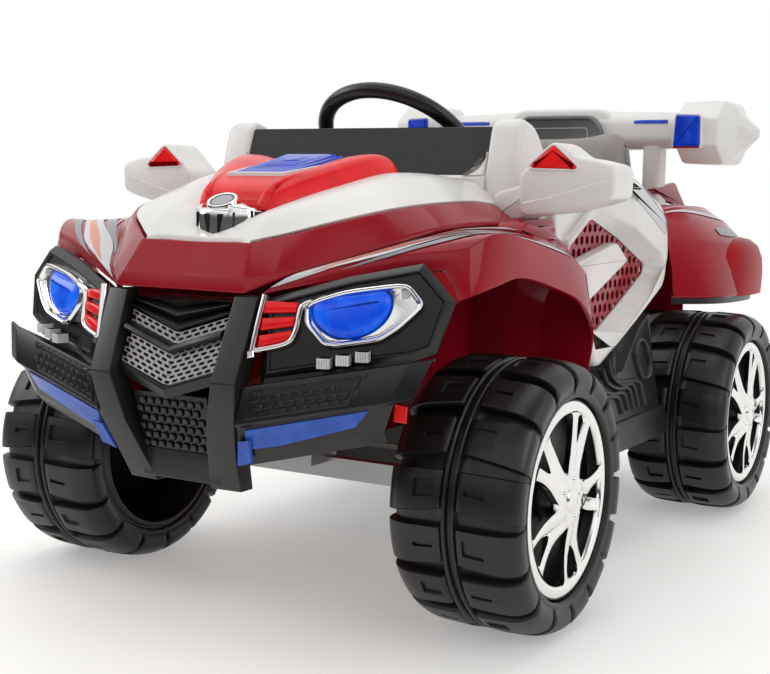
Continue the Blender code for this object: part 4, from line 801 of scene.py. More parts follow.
def curve(points, steps, closed=False, corners=()):
    """A smooth line through the points. It may turn sharply only at the corners, given by number."""
    points = [Vector(point) for point in points]
    count = len(points)
    line = []
    for i in range(count if closed else count - 1):
        start, end = points[i], points[(i + 1) % count]
        before = points[i - 1] if closed or i > 0 else start
        after = points[(i + 2) % count] if closed or i + 2 < count else end
        leave = end - start if i in corners else (end - before) / 2
        arrive = end - start if (i + 1) % count in corners else (after - start) / 2
        reach = (end - start).length
        leave *= min(1.0, reach / max(leave.length, 1e-9))
        arrive *= min(1.0, reach / max(arrive.length, 1e-9))
        for k in range(steps):
            t = k / steps
            line.append(start * (2 * t**3 - 3 * t**2 + 1) + leave * (t**3 - 2 * t**2 + t)
                        + end * (3 * t**2 - 2 * t**3) + arrive * (t**3 - t**2))
    return line if closed else line + [points[-1]]


def inset(outline, distance):
    """A closed flat outline moved inwards by the distance, or outwards if that is negative."""
    count = len(outline)
    area = sum(outline[i - 1][0] * outline[i][1] - outline[i][0] * outline[i - 1][1] for i in range(count))
    side = 1 if area > 0 else -1
    moved = []
    for i in range(count):
        before, here, after = (Vector(outline[k][:2]) for k in (i - 1, i, (i + 1) % count))
        first, second = (here - before).normalized(), (after - here).normalized()
        normal = Vector((-first.y, first.x)) * side
        other = Vector((-second.y, second.x)) * side
        moved.append(here + (normal + other) * distance / max(1 + normal.dot(other), .35))
    return moved


print("curves ready, front axle at y", round(WHEELS["wheel_front_left"].y, 4))


# %% Skins between rows of points
def net(bm, rows, round_ends=False, closed=False):
    """Faces between rows of points, given back as a grid of corners."""
    grid = [[bm.verts.new(point) for point in row] for row in rows]
    quads(bm, grid, round_ends, closed)
    return grid


def closed_net(bm, rows):
    """A solid between rows of points that run round it, closed at its two ends."""
    grid = net(bm, rows, round_ends=True)
    bm.faces.new(grid[0])
    bm.faces.new(grid[-1])


def both_sides(row):
    """A row that starts on the car's middle plane, with its mirror image in front of it."""
    return [Vector((-point.x, point.y, point.z)) for point in reversed(row[1:])] + list(row)


def shell(rows, thickness, inside, crease=0.0, segments=3, angle=16):
    """A skin through the rows, its creases rounded, thickened on the side of the inside point."""
    bm = bmesh.new()
    net(bm, rows)
    bmesh.ops.remove_doubles(bm, verts=bm.verts, dist=1e-5)
    bm.normal_update()
    facing = sum(face.normal.dot(face.calc_center_median() - inside) * face.calc_area()
                 for face in bm.faces)
    if facing < 0:
        bmesh.ops.reverse_faces(bm, faces=bm.faces)
    if crease:
        bevelled(bm, crease, segments, angle)
    bm.normal_update()
    skin, rim = list(bm.faces), [edge for edge in bm.edges if edge.is_boundary]
    inner = {vert: bm.verts.new(vert.co - vert.normal * thickness) for vert in list(bm.verts)}
    for edge in rim:
        loop = edge.link_loops[0]
        start, end = loop.vert, loop.link_loop_next.vert
        bm.faces.new((end, start, inner[start], inner[end]))
    for face in skin:
        bm.faces.new([inner[vert] for vert in reversed(face.verts)])
    return bm


print("skins ready")


# %% Solids from an outline or along a path
def drawn_rings(bm, outline, stations, place):
    """Rings of corners round an outline, one for each station (height, how far it is drawn in)."""
    return [[bm.verts.new(place(u, v, height)) for u, v in inset(outline, drawn)]
            for height, drawn in stations]


def pillow(bm, outline, stations, place):
    """A solid from one outline, with flat ends: see drawn_rings for its stations."""
    rings = drawn_rings(bm, outline, stations, place)
    faces = [bm.faces.new(rings[0]), bm.faces.new(rings[-1])]
    faces[0].material_index = faces[1].material_index = FLAT
    faces += quads(bm, rings)
    bmesh.ops.recalc_face_normals(bm, faces=faces)


def window_frame(bm, outline, hole, outer_stations, hole_stations, place):
    """A solid with one hole. The hole's stations run from the back to the front, like the outline's."""
    faces, ends = [], []
    for ring_line, stations in ((outline, outer_stations), (hole, hole_stations)):
        rings = drawn_rings(bm, ring_line, stations, place)
        faces += quads(bm, rings)
        ends.append((rings[0], rings[-1]))
    for side in (0, 1):
        edges = []
        for back_and_front in ends:
            ring = back_and_front[side]
            edges += [bm.edges.get((ring[i - 1], ring[i])) for i in range(len(ring))]
        for item in bmesh.ops.triangle_fill(bm, use_beauty=True, edges=edges)["geom"]:
            if isinstance(item, bmesh.types.BMFace):
                item.material_index = FLAT
                faces.append(item)
    bmesh.ops.recalc_face_normals(bm, faces=faces)


def band(bm, path, section, place, closed=False):
    """A moulded strip along a flat path. The section gives (to the left of the path, height)."""
    count = len(path)
    rows = []
    for i in range(count):
        here = Vector(path[i][:2])
        before = Vector(path[i - 1][:2]) if closed or i > 0 else here
        after = Vector(path[(i + 1) % count][:2]) if closed or i + 1 < count else here
        first = (here - before) if before != here else (after - here)
        second = (after - here) if after != here else first
        first, second = first.normalized(), second.normalized()
        normal = Vector((-first.y - second.y, first.x + second.x)) / max(1 + first.dot(second), .5)
        rows.append([place(*(here + normal * left), height) for left, height in section])
    grid = [[bm.verts.new(point) for point in row] for row in rows]
    faces = quads(bm, grid, closed_row=closed)
    if not closed:
        faces += [bm.faces.new(grid[0]), bm.faces.new(grid[-1])]
    bmesh.ops.recalc_face_normals(bm, faces=faces)


def in_plane(points):
    """Points of a curve as flat places (u, v)."""
    return [(point[0], point[1]) for point in points]


def pair(name, bm, material, slot=None, stands_for=(), angle=34):
    """A left piece and its mirror image on the right, for nodes that come in pairs."""
    mesh = finished(bm)
    for side in ("left", "right"):
        nodes = tuple(f"{node}_{side}" for node in stands_for)
        piece(f"{name}_{side}", placed(mesh, (0, 0, 0), side == "right"), material, slot, nodes, angle)


print("drawing tools ready")


# %% Tree: staggered rows
WELD_CELLS = 1e-6


def staggered_tree():
    """Copies of a cell in rows. Every other row is shifted by a share of the pitch."""
    tree, start, end = new_tree("staggered_rows",
                                [("Columns", "Int"), ("Rows", "Int"), ("Pitch X", "Float"),
                                 ("Pitch Y", "Float"), ("Shift", "Float"), ("Finish", "Material")])
    given = start.outputs
    index = new_node(tree, "GeometryNodeInputIndex").outputs["Index"]
    row = math(tree, "FLOORED_MODULO", index, given["Rows"])
    column = math(tree, "FLOOR", math(tree, "DIVIDE", index, given["Rows"]))
    shifted = math(tree, "MULTIPLY", math(tree, "FLOORED_MODULO", row, 2.0), given["Shift"])
    x = math(tree, "MULTIPLY", math(tree, "ADD", column, shifted), given["Pitch X"])
    y = math(tree, "MULTIPLY", row, given["Pitch Y"])
    spot = new_node(tree, "ShaderNodeCombineXYZ", inputs={"X": x, "Y": y}).outputs["Vector"]
    count = math(tree, "MULTIPLY", given["Columns"], given["Rows"])
    points = new_node(tree, "GeometryNodePoints", inputs={"Count": count, "Position": spot})
    copies_on(tree, given, end, points.outputs["Points"], WELD_CELLS)
    return tree


STAGGERED = staggered_tree()
print("tree:", STAGGERED.name, "nodes:", len(STAGGERED.nodes))


# %% Cells that the rows repeat
def holed_cell(pitch_x, pitch_y, hole, thickness):
    """A flat rectangular cell round a hole with an even number of corners, open at its four sides."""
    bm = bmesh.new()
    count = len(hole)
    border = []
    for x, y in hole:
        reach = max(abs(x) / (pitch_x / 2), abs(y) / (pitch_y / 2))
        border.append((x / reach, y / reach))
    corners = [(sx * pitch_x / 2, sy * pitch_y / 2) for sx, sy in ((1, 1), (-1, 1), (-1, -1), (1, -1))]
    loops = {}
    for height in (0.0, -thickness):
        rim = [bm.verts.new((x, y, height)) for x, y in border]
        edge = [bm.verts.new((x, y, height)) for x, y in hole]
        corner = [bm.verts.new((x, y, height)) for x, y in corners]
        for i in range(count):
            j = (i + 1) % count
            outer = [rim[i]]
            for x, y in corners:
                turn = Vector(border[i]).angle_signed(Vector((x, y)), 0.0)
                span = Vector(border[i]).angle_signed(Vector(border[j]), 0.0)
                if 0 < -turn < -span or 0 < turn < span:
                    outer.append(corner[corners.index((x, y))])
            bm.faces.new(outer + [rim[j], edge[j], edge[i]])
        loops[height] = edge
    top, low = loops[0.0], loops[-thickness]
    for i in range(count):
        j = (i + 1) % count
        bm.faces.new((top[i], top[j], low[j], low[i]))
    bmesh.ops.remove_doubles(bm, verts=bm.verts, dist=1e-7)
    return mesh_of(bm, "holed_cell")


def knob_cell(half_x, half_y, height, cut):
    """A low knob with cut corners and sloping sides, like one block of a tread."""
    bm = bmesh.new()
    base = [(half_x, -half_y + cut), (half_x, half_y - cut), (half_x - cut, half_y),
            (-half_x + cut, half_y), (-half_x, half_y - cut), (-half_x, -half_y + cut),
            (-half_x + cut, -half_y), (half_x - cut, -half_y)]
    pillow(bm, base, ((-.0004, 0), (height * .6, height * .25), (height, height * .8)),
           lambda u, v, h: (u, v, h))
    return mesh_of(bm, "knob_cell")


print("cells ready")


# %% Fields of cells
def point_inside(u, v, outline):
    """Whether a flat place lies inside a closed outline."""
    inside = False
    for (u0, v0), (u1, v1) in zip(outline, outline[1:] + outline[:1]):
        if (v0 > v) != (v1 > v) and u < (u1 - u0) * (v - v0) / (v1 - v0) + u0:
            inside = not inside
    return inside


def field(cell, finish, columns, rows, pitch, shift, keep, place, depth=0.0):
    """Rows of cells laid on a surface by place(u, v, height). keep(u, v) says which cells stay."""
    grid = grown(cell, STAGGERED, Columns=columns, Rows=rows, Pitch_X=pitch[0], Pitch_Y=pitch[1],
                 Shift=shift, Finish=finish)
    bm = bmesh.new()
    bm.from_mesh(grid)
    gone = []
    for face in bm.faces:
        middle = face.calc_center_median()
        row = round(middle.y / pitch[1])
        moved = (row % 2) * shift
        column = round(middle.x / pitch[0] - moved)
        if not keep((column + moved) * pitch[0], row * pitch[1]):
            gone.append(face)
    bmesh.ops.delete(bm, geom=gone, context="FACES")
    if depth:
        front = [edge for edge in bm.edges if edge.is_boundary
                 and all(vert.co.z > -depth / 2 for vert in edge.verts)]
        made = bmesh.ops.extrude_edge_only(bm, edges=front)["geom"]
        for vert in (item for item in made if isinstance(item, bmesh.types.BMVert)):
            vert.co.z -= depth
        bmesh.ops.remove_doubles(bm, verts=bm.verts, dist=1e-6)
    bmesh.ops.recalc_face_normals(bm, faces=bm.faces)
    for vert in bm.verts:
        vert.co = place(*vert.co)
    return bm


print("fields ready")

# %% [markdown]
# ## Hood
# The hood is two mouldings. The red rim runs round the nose and along both sides: a face that slopes
# down from the white panel, a crease, and a short lip that laps over the fenders. The white panel
# inside it swells up beside the dome light and runs into the windshield pillars.

# %% Hood rim
BODY_INSIDE = fore(0, .06, .36)
HOOD_TOP = [(0, -.207, .449), (.078, -.209, .45), (.109, -.182, .459), (.152, -.143, .474),
            (.188, -.08, .488), (.212, 0, .4955), (.218, .08, .4955), (.222, .172, .484)]
HOOD_LIP = [(0, -.234, .411), (.088, -.236, .412), (.124, -.208, .42), (.172, -.146, .44),
            (.212, -.098, .458), (.236, -.048, .47), (.249, .05, .4735), (.25, .172, .467)]
HOOD_EDGE = [(0, -.238, .396), (.091, -.24, .396), (.126, -.2095, .414), (.173, -.1475, .4345),
             (.213, -.099, .4525), (.237, -.048, .4648), (.25, .05, .4687), (.251, .172, .4618)]
HOOD_CROWN = [(0, -.207, .449), (.06, -.2, .452), (.07, -.165, .478), (.088, -.11, .497),
              (.112, -.05, .514), (.132, .01, .5265), (.15, .06, .527), (.168, .125, .52)]
HOOD_MIDDLE = [(0, -.207, .449), (0, -.195, .45), (0, -.165, .455), (0, -.11, .468), (0, -.05, .487),
               (0, .01, .505), (0, .06, .512), (0, .125, .512)]
HOOD_STEPS = 7
PANEL_RISE = .0033


def hood_line(points, inwards=0.0, drop=0.0, corners=(1,)):
    """A smooth line of the hood, moved towards its middle and down if asked."""
    moved = [fore(x * (1 - inwards), y + inwards * .12, z - drop) for x, y, z in points]
    return curve(moved, HOOD_STEPS, corners=corners)


rim_lines = [hood_line(HOOD_TOP, .07, .006), hood_line(HOOD_TOP), hood_line(HOOD_LIP), hood_line(HOOD_EDGE),
             hood_line(HOOD_EDGE, .03, .001)]
rim_rows = [both_sides(line) for line in rim_lines]
hood_rim = shell(rim_rows, .0026, BODY_INSIDE, .003, 3, 18)
piece("hood_rim_moulding", hood_rim, RED, "red_gloss", ("hood_rim",), 50)

show("rim faces")


# %% White panel
def panel_rows():
    """Rows of the white panel from its front to its back, each across the car."""
    border = curve([fore(x - .004, y + .003, z - .002) for x, y, z in HOOD_TOP], HOOD_STEPS, corners=(1,))
    crown = curve([fore(*point) for point in HOOD_CROWN], HOOD_STEPS)
    middle = curve([fore(*point) for point in HOOD_MIDDLE], HOOD_STEPS)
    rise = Vector((0, 0, PANEL_RISE))
    rows = []
    for low, top, edge in list(zip(middle, crown, border))[HOOD_STEPS:]:
        rows.append(both_sides([point + rise for point in curve((low, top, edge + Vector((0, 0, .0005))),
                                                                9)]))
    turned_down = [[point + Vector((0, -.003 * share, -.0062 * share ** 2)) for point in rows[0]]
                   for share in (1, .7, .4)]
    return turned_down + rows


hood_panel = shell(panel_rows(), .0025, BODY_INSIDE)
piece("hood_panel_moulding", hood_panel, WHITE, "white_gloss", ("hood_panel",), 60)


def read_line(points, across, y):
    """The height, or with across the outward place, of a hood line at a place y behind the axle."""
    for (x0, y0, z0), (x1, y1, z1) in zip(points[2:], points[3:]):
        if y <= y1:
            break
    share = (y - y0) / (y1 - y0)
    return x0 + (x1 - x0) * share if across else z0 + (z1 - z0) * share


def on_hood(x, y, rise=0.0):
    """A place on the white panel, inside its crown."""
    share = min(abs(x) / read_line(HOOD_CROWN, True, y), 1.0)
    low, top = read_line(HOOD_MIDDLE, False, y), read_line(HOOD_CROWN, False, y)
    bulge = .25 * (top - low) * share * (1 - share)
    return fore(x, y, low + (top - low) * share + bulge + PANEL_RISE + rise)


show("hood pieces", 2)

# %% [markdown]
# ## Badge block, dome light and its slots
# The chromed block at the tip of the white panel carries a round badge, left bare here. Behind it a
# red lamp glass lies round a blue one like a horseshoe: a low nose in front and two arms that rise
# to the back. The blue glass is stepped in three tiers. A fine grid inside the red glass scatters
# the light of the lamp below. Here the grid is painted a little brighter, a painted highlight, and
# both glasses carry a faint painted glow.

# %% Red dome
WELL_HALF = .0445
# place behind the axle, half width, then the heights of the lens edge, of the arm's crest and of its
# outer shoulder, and the crest's share of the half width
DOME_STATIONS = [
    (-.14, .05, .485, .487, .484, .7), (-.136, .054, .499, .4985, .493, .7),
    (-.125, .061, .511, .509, .499, .7), (-.11, .07, .519, .5165, .503, .74),
    (-.096, .078, .5245, .523, .5075, .76), (-.07, .092, .529, .5325, .515, .78),
    (-.05, .1, .533, .539, .5205, .79), (-.02, .11, .5395, .5475, .5285, .8),
    (.005, .116, .543, .552, .5345, .81), (.025, .119, .544, .553, .5365, .82),
    (.04, .1195, .542, .55, .535, .82), (.048, .117, .537, .543, .532, .81),
    (.052, .112, .529, .534, .528, .8),
]


def dome_rows():
    """Rows of the red dome from its nose to its back, each across the car."""
    rows = []
    for y, half, lens_edge, crest, shoulder, crest_share in DOME_STATIONS:
        foot = on_hood(half, y, -.002)
        inner = WELL_HALF + .0035
        crest_x = half * crest_share
        points = [fore(0, y, lens_edge), fore(inner * .5, y, lens_edge), fore(inner, y, lens_edge),
                  fore((inner + crest_x) / 2, y, (lens_edge + crest) / 2 + .0025), fore(crest_x, y, crest),
                  fore((crest_x + half) / 2, y, (crest + shoulder) / 2 + .0028),
                  fore(half * .985, y, shoulder - .004),
                  Vector((half, foot.y, max(foot.z, shoulder - .03)))]
        rows.append(curve(points, 3))
    columns = [curve([row[i] for row in rows], 3) for i in range(len(rows[0]))]
    smooth = [[column[k] for column in columns] for k in range(len(columns[0]))]
    return [both_sides(row) for row in smooth]


dome = shell(dome_rows(), .0022, fore(0, -.04, .45))
piece("dome_glass", dome, DOME_GLASS, "red_lens", ("dome_light",), 55)

show("dome faces")


# %% Blue lamp glass in three tiers
def tier(bm, y_front, y_back, half_front, half_back, low, slope, rise):
    """One step of the blue glass: a plate whose top slopes up to the back."""
    outline = [(half_front, y_front), (half_back, y_back), (-half_back, y_back), (-half_front, y_front)]

    def lay(u, v, h):
        return fore(u, v, low + h * (rise + slope * (v - y_front)))
    pillow(bm, outline, ((0, 0), (.7, 0), (.92, .0012), (1, .0032)), lay)


bm = bmesh.new()
for measures in ((-.096, .0275, .04, .0475, .5185, .2, .0085), (-.074, .024, .033, .04, .52, .235, .011),
                 (-.05, .019, .023, .032, .526, .22, .012), (-.026, .012, .012, .02, .533, .15, .012)):
    tier(bm, *measures)
piece("dome_blue_glass", bm, BLUE_GLASS, "blue_lens", ("dome_lens",), 30)

show("dome pieces", 2)

# %% White border round the blue glass
bm = bmesh.new()
rim_path = [(-.047, .03), (-.047, -.03), (-.04, -.096), (.04, -.096), (.047, -.03), (.047, .03)]


def lens_rim(u, v, h):
    """A place on the sloping top of the dome, beside the blue glass."""
    y = min(max(v, -.11), .03)
    return fore(u, v, .5265 + .145 * (y + .096) + h)


band(bm, curve(rim_path, 4, corners=(2, 3)),
     ((.0016, -.004), (.0016, .0012), (.0004, .0022), (-.0016, .0016), (-.0022, -.004)), lens_rim)
piece("dome_lens_rim", bm, WHITE, "white_gloss")
print("dome faces:", sum(len(obj.data.polygons) for obj in MADE[-3:]))

# %% Chromed badge block with a bare badge
BADGE_MIDDLE = (0, -.16, .4925)
BADGE = Matrix.Translation(fore(*BADGE_MIDDLE)) @ Matrix.Rotation(radians(30), 4, "X")


def on_badge(u, v, h):
    """A place on the leaning face of the badge block."""
    return BADGE @ Vector((u, v, h))


def oval(radius, steps=40, share=.86):
    """A flat oval round the middle."""
    return [(radius * cos(2 * pi * i / steps), radius * share * sin(2 * pi * i / steps))
            for i in range(steps)]


BLOCK_HALVES = [(-.1425, .044), (-.154, .043), (-.164, .037), (-.172, .029), (-.1775, .0185)]
block = [(x, y) for y, x in BLOCK_HALVES] + [(-x, y) for y, x in reversed(BLOCK_HALVES)]


def on_block(u, v, h):
    """Over the hood. The block's top falls to the nose and to both sides."""
    low = .452 + .55 * (v + .178)
    top = .49 - .3 * max(-.158 - v, 0.0) - 2.2 * max(abs(u) - .02, 0.0) ** 1.5
    return fore(u, v, low + (top - low) * h)


bm = bmesh.new()
pillow(bm, block, ((0, -.0005), (.6, 0), (.9, .0003), (.97, .0014), (1, .0038), (1, .006)), on_block)
pillow(bm, oval(.0205), ((-.033, .001), (-.006, 0), (.002, .0004), (.0036, .0014), (.004, .0028),
                         (.0034, .0044), (.0018, .0052)), on_badge)
for side in (-1, 1):
    wing_plate = [(side * x, y) for x, y in ((.021, -.176), (.03, -.1705), (.042, -.156), (.0445, -.143),
                                             (.033, -.1425), (.024, -.156))]
    pillow(bm, wing_plate, ((0, 0), (1.04, 0), (1.1, .001), (1.12, .0026)), on_block)
piece("badge_block", bm, CHROME, "chrome", ("emblem_block",), 38)
show("badge block faces")

# %% Bare badge, its line, and black fill in the slots of the block as painted shade
bm = bmesh.new()
pillow(bm, oval(.0152), ((.0006, 0), (.0024, 0), (.003, .0008)), on_badge)
piece("badge_disc", bm, SILVER, "silver_paint")
bm = bmesh.new()
band(bm, oval(.014), ((.0002, .0026), (.0002, .0033), (-.0016, .0033), (-.0016, .0026)), on_badge,
     closed=True)
# Black solids fill the front slots, the cheeks and the slim gap beside the block: painted shade in these
# openings.
for side in (-1, 1):
    for u0, u1, low, high in ((.006, .0205, .1, .84), (.0262, .0292, .1, .9)):
        front = [(side * u0, -.179 + u0 * .12), (side * u1, -.179 + u1 * .12 + max(u1 - .0205, 0) * .8),
                 (side * u1, -.17), (side * u0, -.17)]
        pillow(bm, front, ((low, 0.0), (high, 0.0)), on_block)
    cheek = [(side * .04, -.1595), (side * .0452, -.15), (side * .0462, -.1425), (side * .04, -.1425)]
    pillow(bm, cheek, ((.35, 0), (1.02, 0)), on_block)
    trail = curve([(side * x, y, 0) for x, y in ((.044, -.146), (.06, -.133), (.082, -.106),
                                                 (.104, -.064))], 6)
    left = in_plane(trail)
    right = [(point.x + side * .0052 * (1 - i / (len(trail) - 1)) + side * .0004,
              point.y - .0012) for i, point in enumerate(trail)]
    pillow(bm, left + right[::-1], ((-.003, 0), (.0006, 0)), on_hood)
piece("badge_slots", bm, BLACK, "black_plastic", angle=30)
print("badge block with", len(MADE[-1].data.polygons), "slot faces")

# %% [markdown]
# ## Front masks and bumper wings
# Behind the hood lip on each side a black mask leans back. It is sunk inside a bevelled border, so the
# lamp unit in it looks deep set. The bumper wing below it is moulded in one with the mask: a sloping
# face with a framed panel of knobs, a blue ribbed strip under it, and a lip.

# %% Plane of a headlight
MASK_CORNER = fore(.108, -.236, .392)
MASK_SWEEP, MASK_LEAN = radians(20.6), radians(12)
mask_out = Vector((cos(MASK_SWEEP), sin(MASK_SWEEP), 0))
mask_level = Vector((sin(MASK_SWEEP), -cos(MASK_SWEEP), 0))
mask_up = Vector((0, 0, cos(MASK_LEAN))) - mask_level * sin(MASK_LEAN)
mask_forward = mask_level * cos(MASK_LEAN) + Vector((0, 0, sin(MASK_LEAN)))


def on_mask(u, v, height):
    """A place in the plane of the left headlight: outward, up and forward."""
    return MASK_CORNER + mask_out * u + mask_up * v + mask_forward * height


MASK_LINE = [(.006, 0), (.099, .027), (.177, .043), (.213, .004), (.195, -.053), (.172, -.062),
             (.006, -.09)]
bm = bmesh.new()
pillow(bm, MASK_LINE, ((-.0175, 0), (-.0085, 0), (-.0012, .0062), (0, .0078), (0, .0092), (-.0012, .0102),
                       (-.004, .0112)), on_mask)
pillow(bm, [(.146, .028), (.174, .036), (.202, .004), (.188, -.04), (.156, -.024)],
       ((-.056, .004), (-.01, 0)), on_mask)
mask_border = bm
print("mask faces:", len(bm.faces))

# %% Bumper wing
WING_LINES = [
    ((.304, -.196, .337), (-.24, .297)), ((.304, -.2, .336), (-.258, .2965)),
    ((.289, -.214, .295), (-.266, .255)), ((.268, -.217, .288), (-.259, .25)),
    ((.254, -.212, .256), (-.25, .224)), ((.252, -.2, .244), (-.238, .204)),
]
POST_EDGE = [(.392, .106), (.3, .103), (.245, .095), (.2, .084), (.172, .08)]
WING_SHARES = (0, .12, .3, .5, .72, .885, 1)
WING_BULGE = (0, 0, .001, .002, .004, .006, 0)


def post_edge(z):
    """How far out the post's edge lies at a height."""
    for (z0, x0), (z1, x1) in zip(POST_EDGE, POST_EDGE[1:]):
        if z >= z1:
            break
    return x0 + (x1 - x0) * (z - z0) / (z1 - z0)


def wing_row(end, inner):
    """One line across the wing, from the post to its outer end."""
    start = fore(post_edge(inner[1]) + .0019, *inner)
    forward = Vector((.25, -1, 0)).normalized()
    return [start.lerp(fore(*end),
                       share) + forward * bulge for share, bulge in zip(WING_SHARES, WING_BULGE)]


wing_rows = [wing_row(*line) for line in WING_LINES]
add(mask_border, shell(wing_rows, .0028, BODY_INSIDE, .0016, 2, 14))
web = [(.01, -.08), (.17, -.052), (.17, -.068), (.01, -.098)]
pillow(mask_border, web, ((-.014, 0), (-.006, 0)), on_mask)
pair("front_mask_moulding", mask_border, BLACK, "black_plastic", ("front_mask",), 34)

show("mask and wing faces")


# %% Framed panel of knobs on the wing
def on_wing(upper, s, t, height):
    """A place on the strip between two lines of the wing: s outward, t down, height forward."""
    count = len(WING_SHARES) - 1
    for k in range(count):
        if s <= WING_SHARES[k + 1] or k == count - 1:
            break
    share = (s - WING_SHARES[k]) / (WING_SHARES[k + 1] - WING_SHARES[k])
    top = wing_rows[upper][k].lerp(wing_rows[upper][k + 1], share)
    low = wing_rows[upper + 1][k].lerp(wing_rows[upper + 1][k + 1], share)
    along = (wing_rows[upper][-1] - wing_rows[upper][0]).normalized()
    out = (low - top).normalized().cross(along)
    if out.y > 0:
        out = -out
    return top.lerp(low, t) + out * height


WING_LENGTH = (wing_rows[1][-1] - wing_rows[1][0]).length
WING_HEIGHT = (wing_rows[2][2] - wing_rows[1][2]).length


def wing_face(u, v, h):
    """The wing's face in metres: u outward from the post, v up from its low edge."""
    return on_wing(1, u / WING_LENGTH, 1 - v / WING_HEIGHT, h)


bm = bmesh.new()
frame_line = [(.01, .0045), (.136, .0045), (.14, .0375), (.01, .0375)]
band(bm, frame_line, ((0, -.001), (0, .001), (.0008, .0016), (.0022, .0016), (.003, .001), (.003, -.001)),
     wing_face, closed=True)
knobs = field(knob_cell(.0058, .0038, .0017, .0018), BLACK, 11, 4, (.0126, .0092), .5,
              lambda u, v: u < .121 and v < .028, lambda u, v, h: wing_face(u + .0185, v + .0082, h))
add(bm, knobs)
pair("bumper_knobs", bm, BLACK, "black_plastic", angle=30)
show("knob faces")

# %% Blue ribbed strip with its tail
bm = bmesh.new()
STRIP_LINE = [(.05, .1), (.86, .06), (.8, .62), (.3, .98), (.06, .98)]
strip_steps = curve(STRIP_LINE, 3, closed=True, corners=(0, 1, 2, 3, 4))
pillow(bm, in_plane(strip_steps), ((-.001, 0), (.0012, 0), (.0018, .012)),
       lambda s, t, h: on_wing(3, s, t, h))
tail = [(.098, -.2575, .236), (.112, -.2575, .2385), (.1075, -.246, .212), (.094, -.244, .208),
        (.088, -.244, .206)]
lower = [fore(*point) for point in tail]
front = [bm.verts.new(point + Vector((0, -.0015, 0))) for point in lower]
back = [bm.verts.new(point + Vector((0, .003, 0))) for point in lower]
faces = [bm.faces.new(front), bm.faces.new(back), *quads(bm, [front, back])]
bmesh.ops.recalc_face_normals(bm, faces=faces)
pair("blue_ribbed_strip", bm, STRIP_GLASS, "blue_lens", angle=30)
show("strip faces")

# %% Clear lamps on the wing and the red reflector
bm = bmesh.new()
for x, y, z in ((.23, -.2185, .3335), (.2105, -.226, .329), (.191, -.233, .325)):
    corner = fore(x, y, z)
    for rib in range(5):
        low, high = rib * .0027 - .0066, rib * .0027 - .0045
        for start_u, end_u, tall in ((low, high, .0052), (low - .0006, high + .0006, .004)):
            outline = [(start_u, -.004), (end_u, -.004), (end_u, .007), (start_u, .007)]
            pillow(bm, outline, ((-.01, 0), (tall - .0008, 0.0), (tall, .0007)),
                   lambda u, v, h: corner + mask_out * u + Vector((0, 0, 1)) * v + mask_level * h)
pair("lamp_blocks", bm, CLEAR_LAMP, "chrome", angle=30)

bm = bmesh.new()
outline = [(0, 0), (.014, -.002), (.013, -.02), (-.001, -.018)]
reflector_at = fore(.251, -.186, .282)
pillow(bm, outline, ((-.004, 0), (0, 0), (.0012, .0014)),
       lambda u, v, h: reflector_at + mask_out * u + Vector((0, 0, v)) + mask_level * h)
pair("side_reflector", bm, RED_GLASS, "red_lens", angle=30)
show("bumper pieces", 8)

# %% [markdown]
# ## Headlights
# The lamp unit is one chrome-plated moulding: a raised band runs round the lamp, turns at its inner
# end like the letter S and goes on under three red bars to a leaning foot at the post. The bowl
# inside is plated too. The lamp glass is a blue half-moon, straight on top and round below.

# %% Chromed band and bowl
BEZEL_LINE = [(.052, -.004), (.095, .011), (.164, .0215), (.1845, -.003), (.157, -.0305), (.136, -.0445),
              (.077, -.0545), (.053, -.0285)]
LAMP_LINE = [(.0615, -.012), (.067, -.0015), (.084, .003), (.103, .0062), (.124, .0092), (.1375, .0112),
             (.145, .004), (.1445, -.009), (.137, -.0225), (.123, -.0335), (.106, -.04), (.089, -.04),
             (.0745, -.0335), (.065, -.0235)]
lamp_outline = in_plane(curve(LAMP_LINE, 3, closed=True))
bezel_outline = in_plane(curve(BEZEL_LINE, 6, closed=True, corners=range(8)))
# soften the corners of the band: each point moves towards the middle of its neighbours
for _ in range(2):
    bezel_outline = [(.5 * b[0] + .25 * (a[0] + c[0]), .5 * b[1] + .25 * (a[1] + c[1]))
                     for a, b, c in zip([bezel_outline[-1]] + bezel_outline[:-1], bezel_outline,
                                        bezel_outline[1:] + bezel_outline[:1])]
bm = bmesh.new()
BAND_HEIGHTS = ((-.004, 0), (.003, 0), (.0062, .001), (.0075, .0024), (.0073, .0038), (.0055, .0056),
                (.002, .0066), (.0006, .0074))
bowl = [(-.004, -.0012), (-.0012, -.0012), (.0002, -.002), (.001, -.0034)]
window_frame(bm, bezel_outline, lamp_outline, BAND_HEIGHTS, bowl, on_mask)
ROUND_STRIP = ((-.003, -.004), (-.003, .003), (-.0016, .0052), (0, .0058), (.0016, .0052), (.003, .003),
               (.003, -.004))
s_path = [(.06, -.003), (.05, -.0075), (.0465, -.018), (.044, -.034), (.039, -.0455), (.03, -.0505),
          (.015, -.0545), (0, -.0575)]
band(bm, curve(s_path, 5), ROUND_STRIP, on_mask)
foot_path = [(.0075, .003), (.001, -.03), (-.004, -.06)]
band(bm, foot_path, ROUND_STRIP, on_mask)
foot = [(-.008, -.059), (-.0005, -.0575), (.0005, -.065), (-.007, -.0665)]
pillow(bm, foot, ((-.004, 0), (.006, 0), (.007, .001)), on_mask)
pair("headlight_band", bm, CHROME, "chrome", ("headlight_bezel",), 42)
show("band faces")

# %% Three red bars beside the bowl
bm = bmesh.new()
corners = [Vector((.0085, -.0035)), Vector((.0445, -.0045)), Vector((.0385, -.0445)),
           Vector((.0022, -.0545))]
for low, high in ((0, .26), (.37, .63), (.74, 1)):
    left, right = [[corners[i].lerp(corners[3 - i], t) for t in (low, high)] for i in (0, 1)]
    pillow(bm, in_plane([left[0], right[0], right[1], left[1]]),
           ((-.0038, 0), (.0008, 0), (.0028, .001), (.0036, .0028)), on_mask)
pair("red_bars", bm, RED_GLASS, "red_lens", angle=40)
show("bar faces")

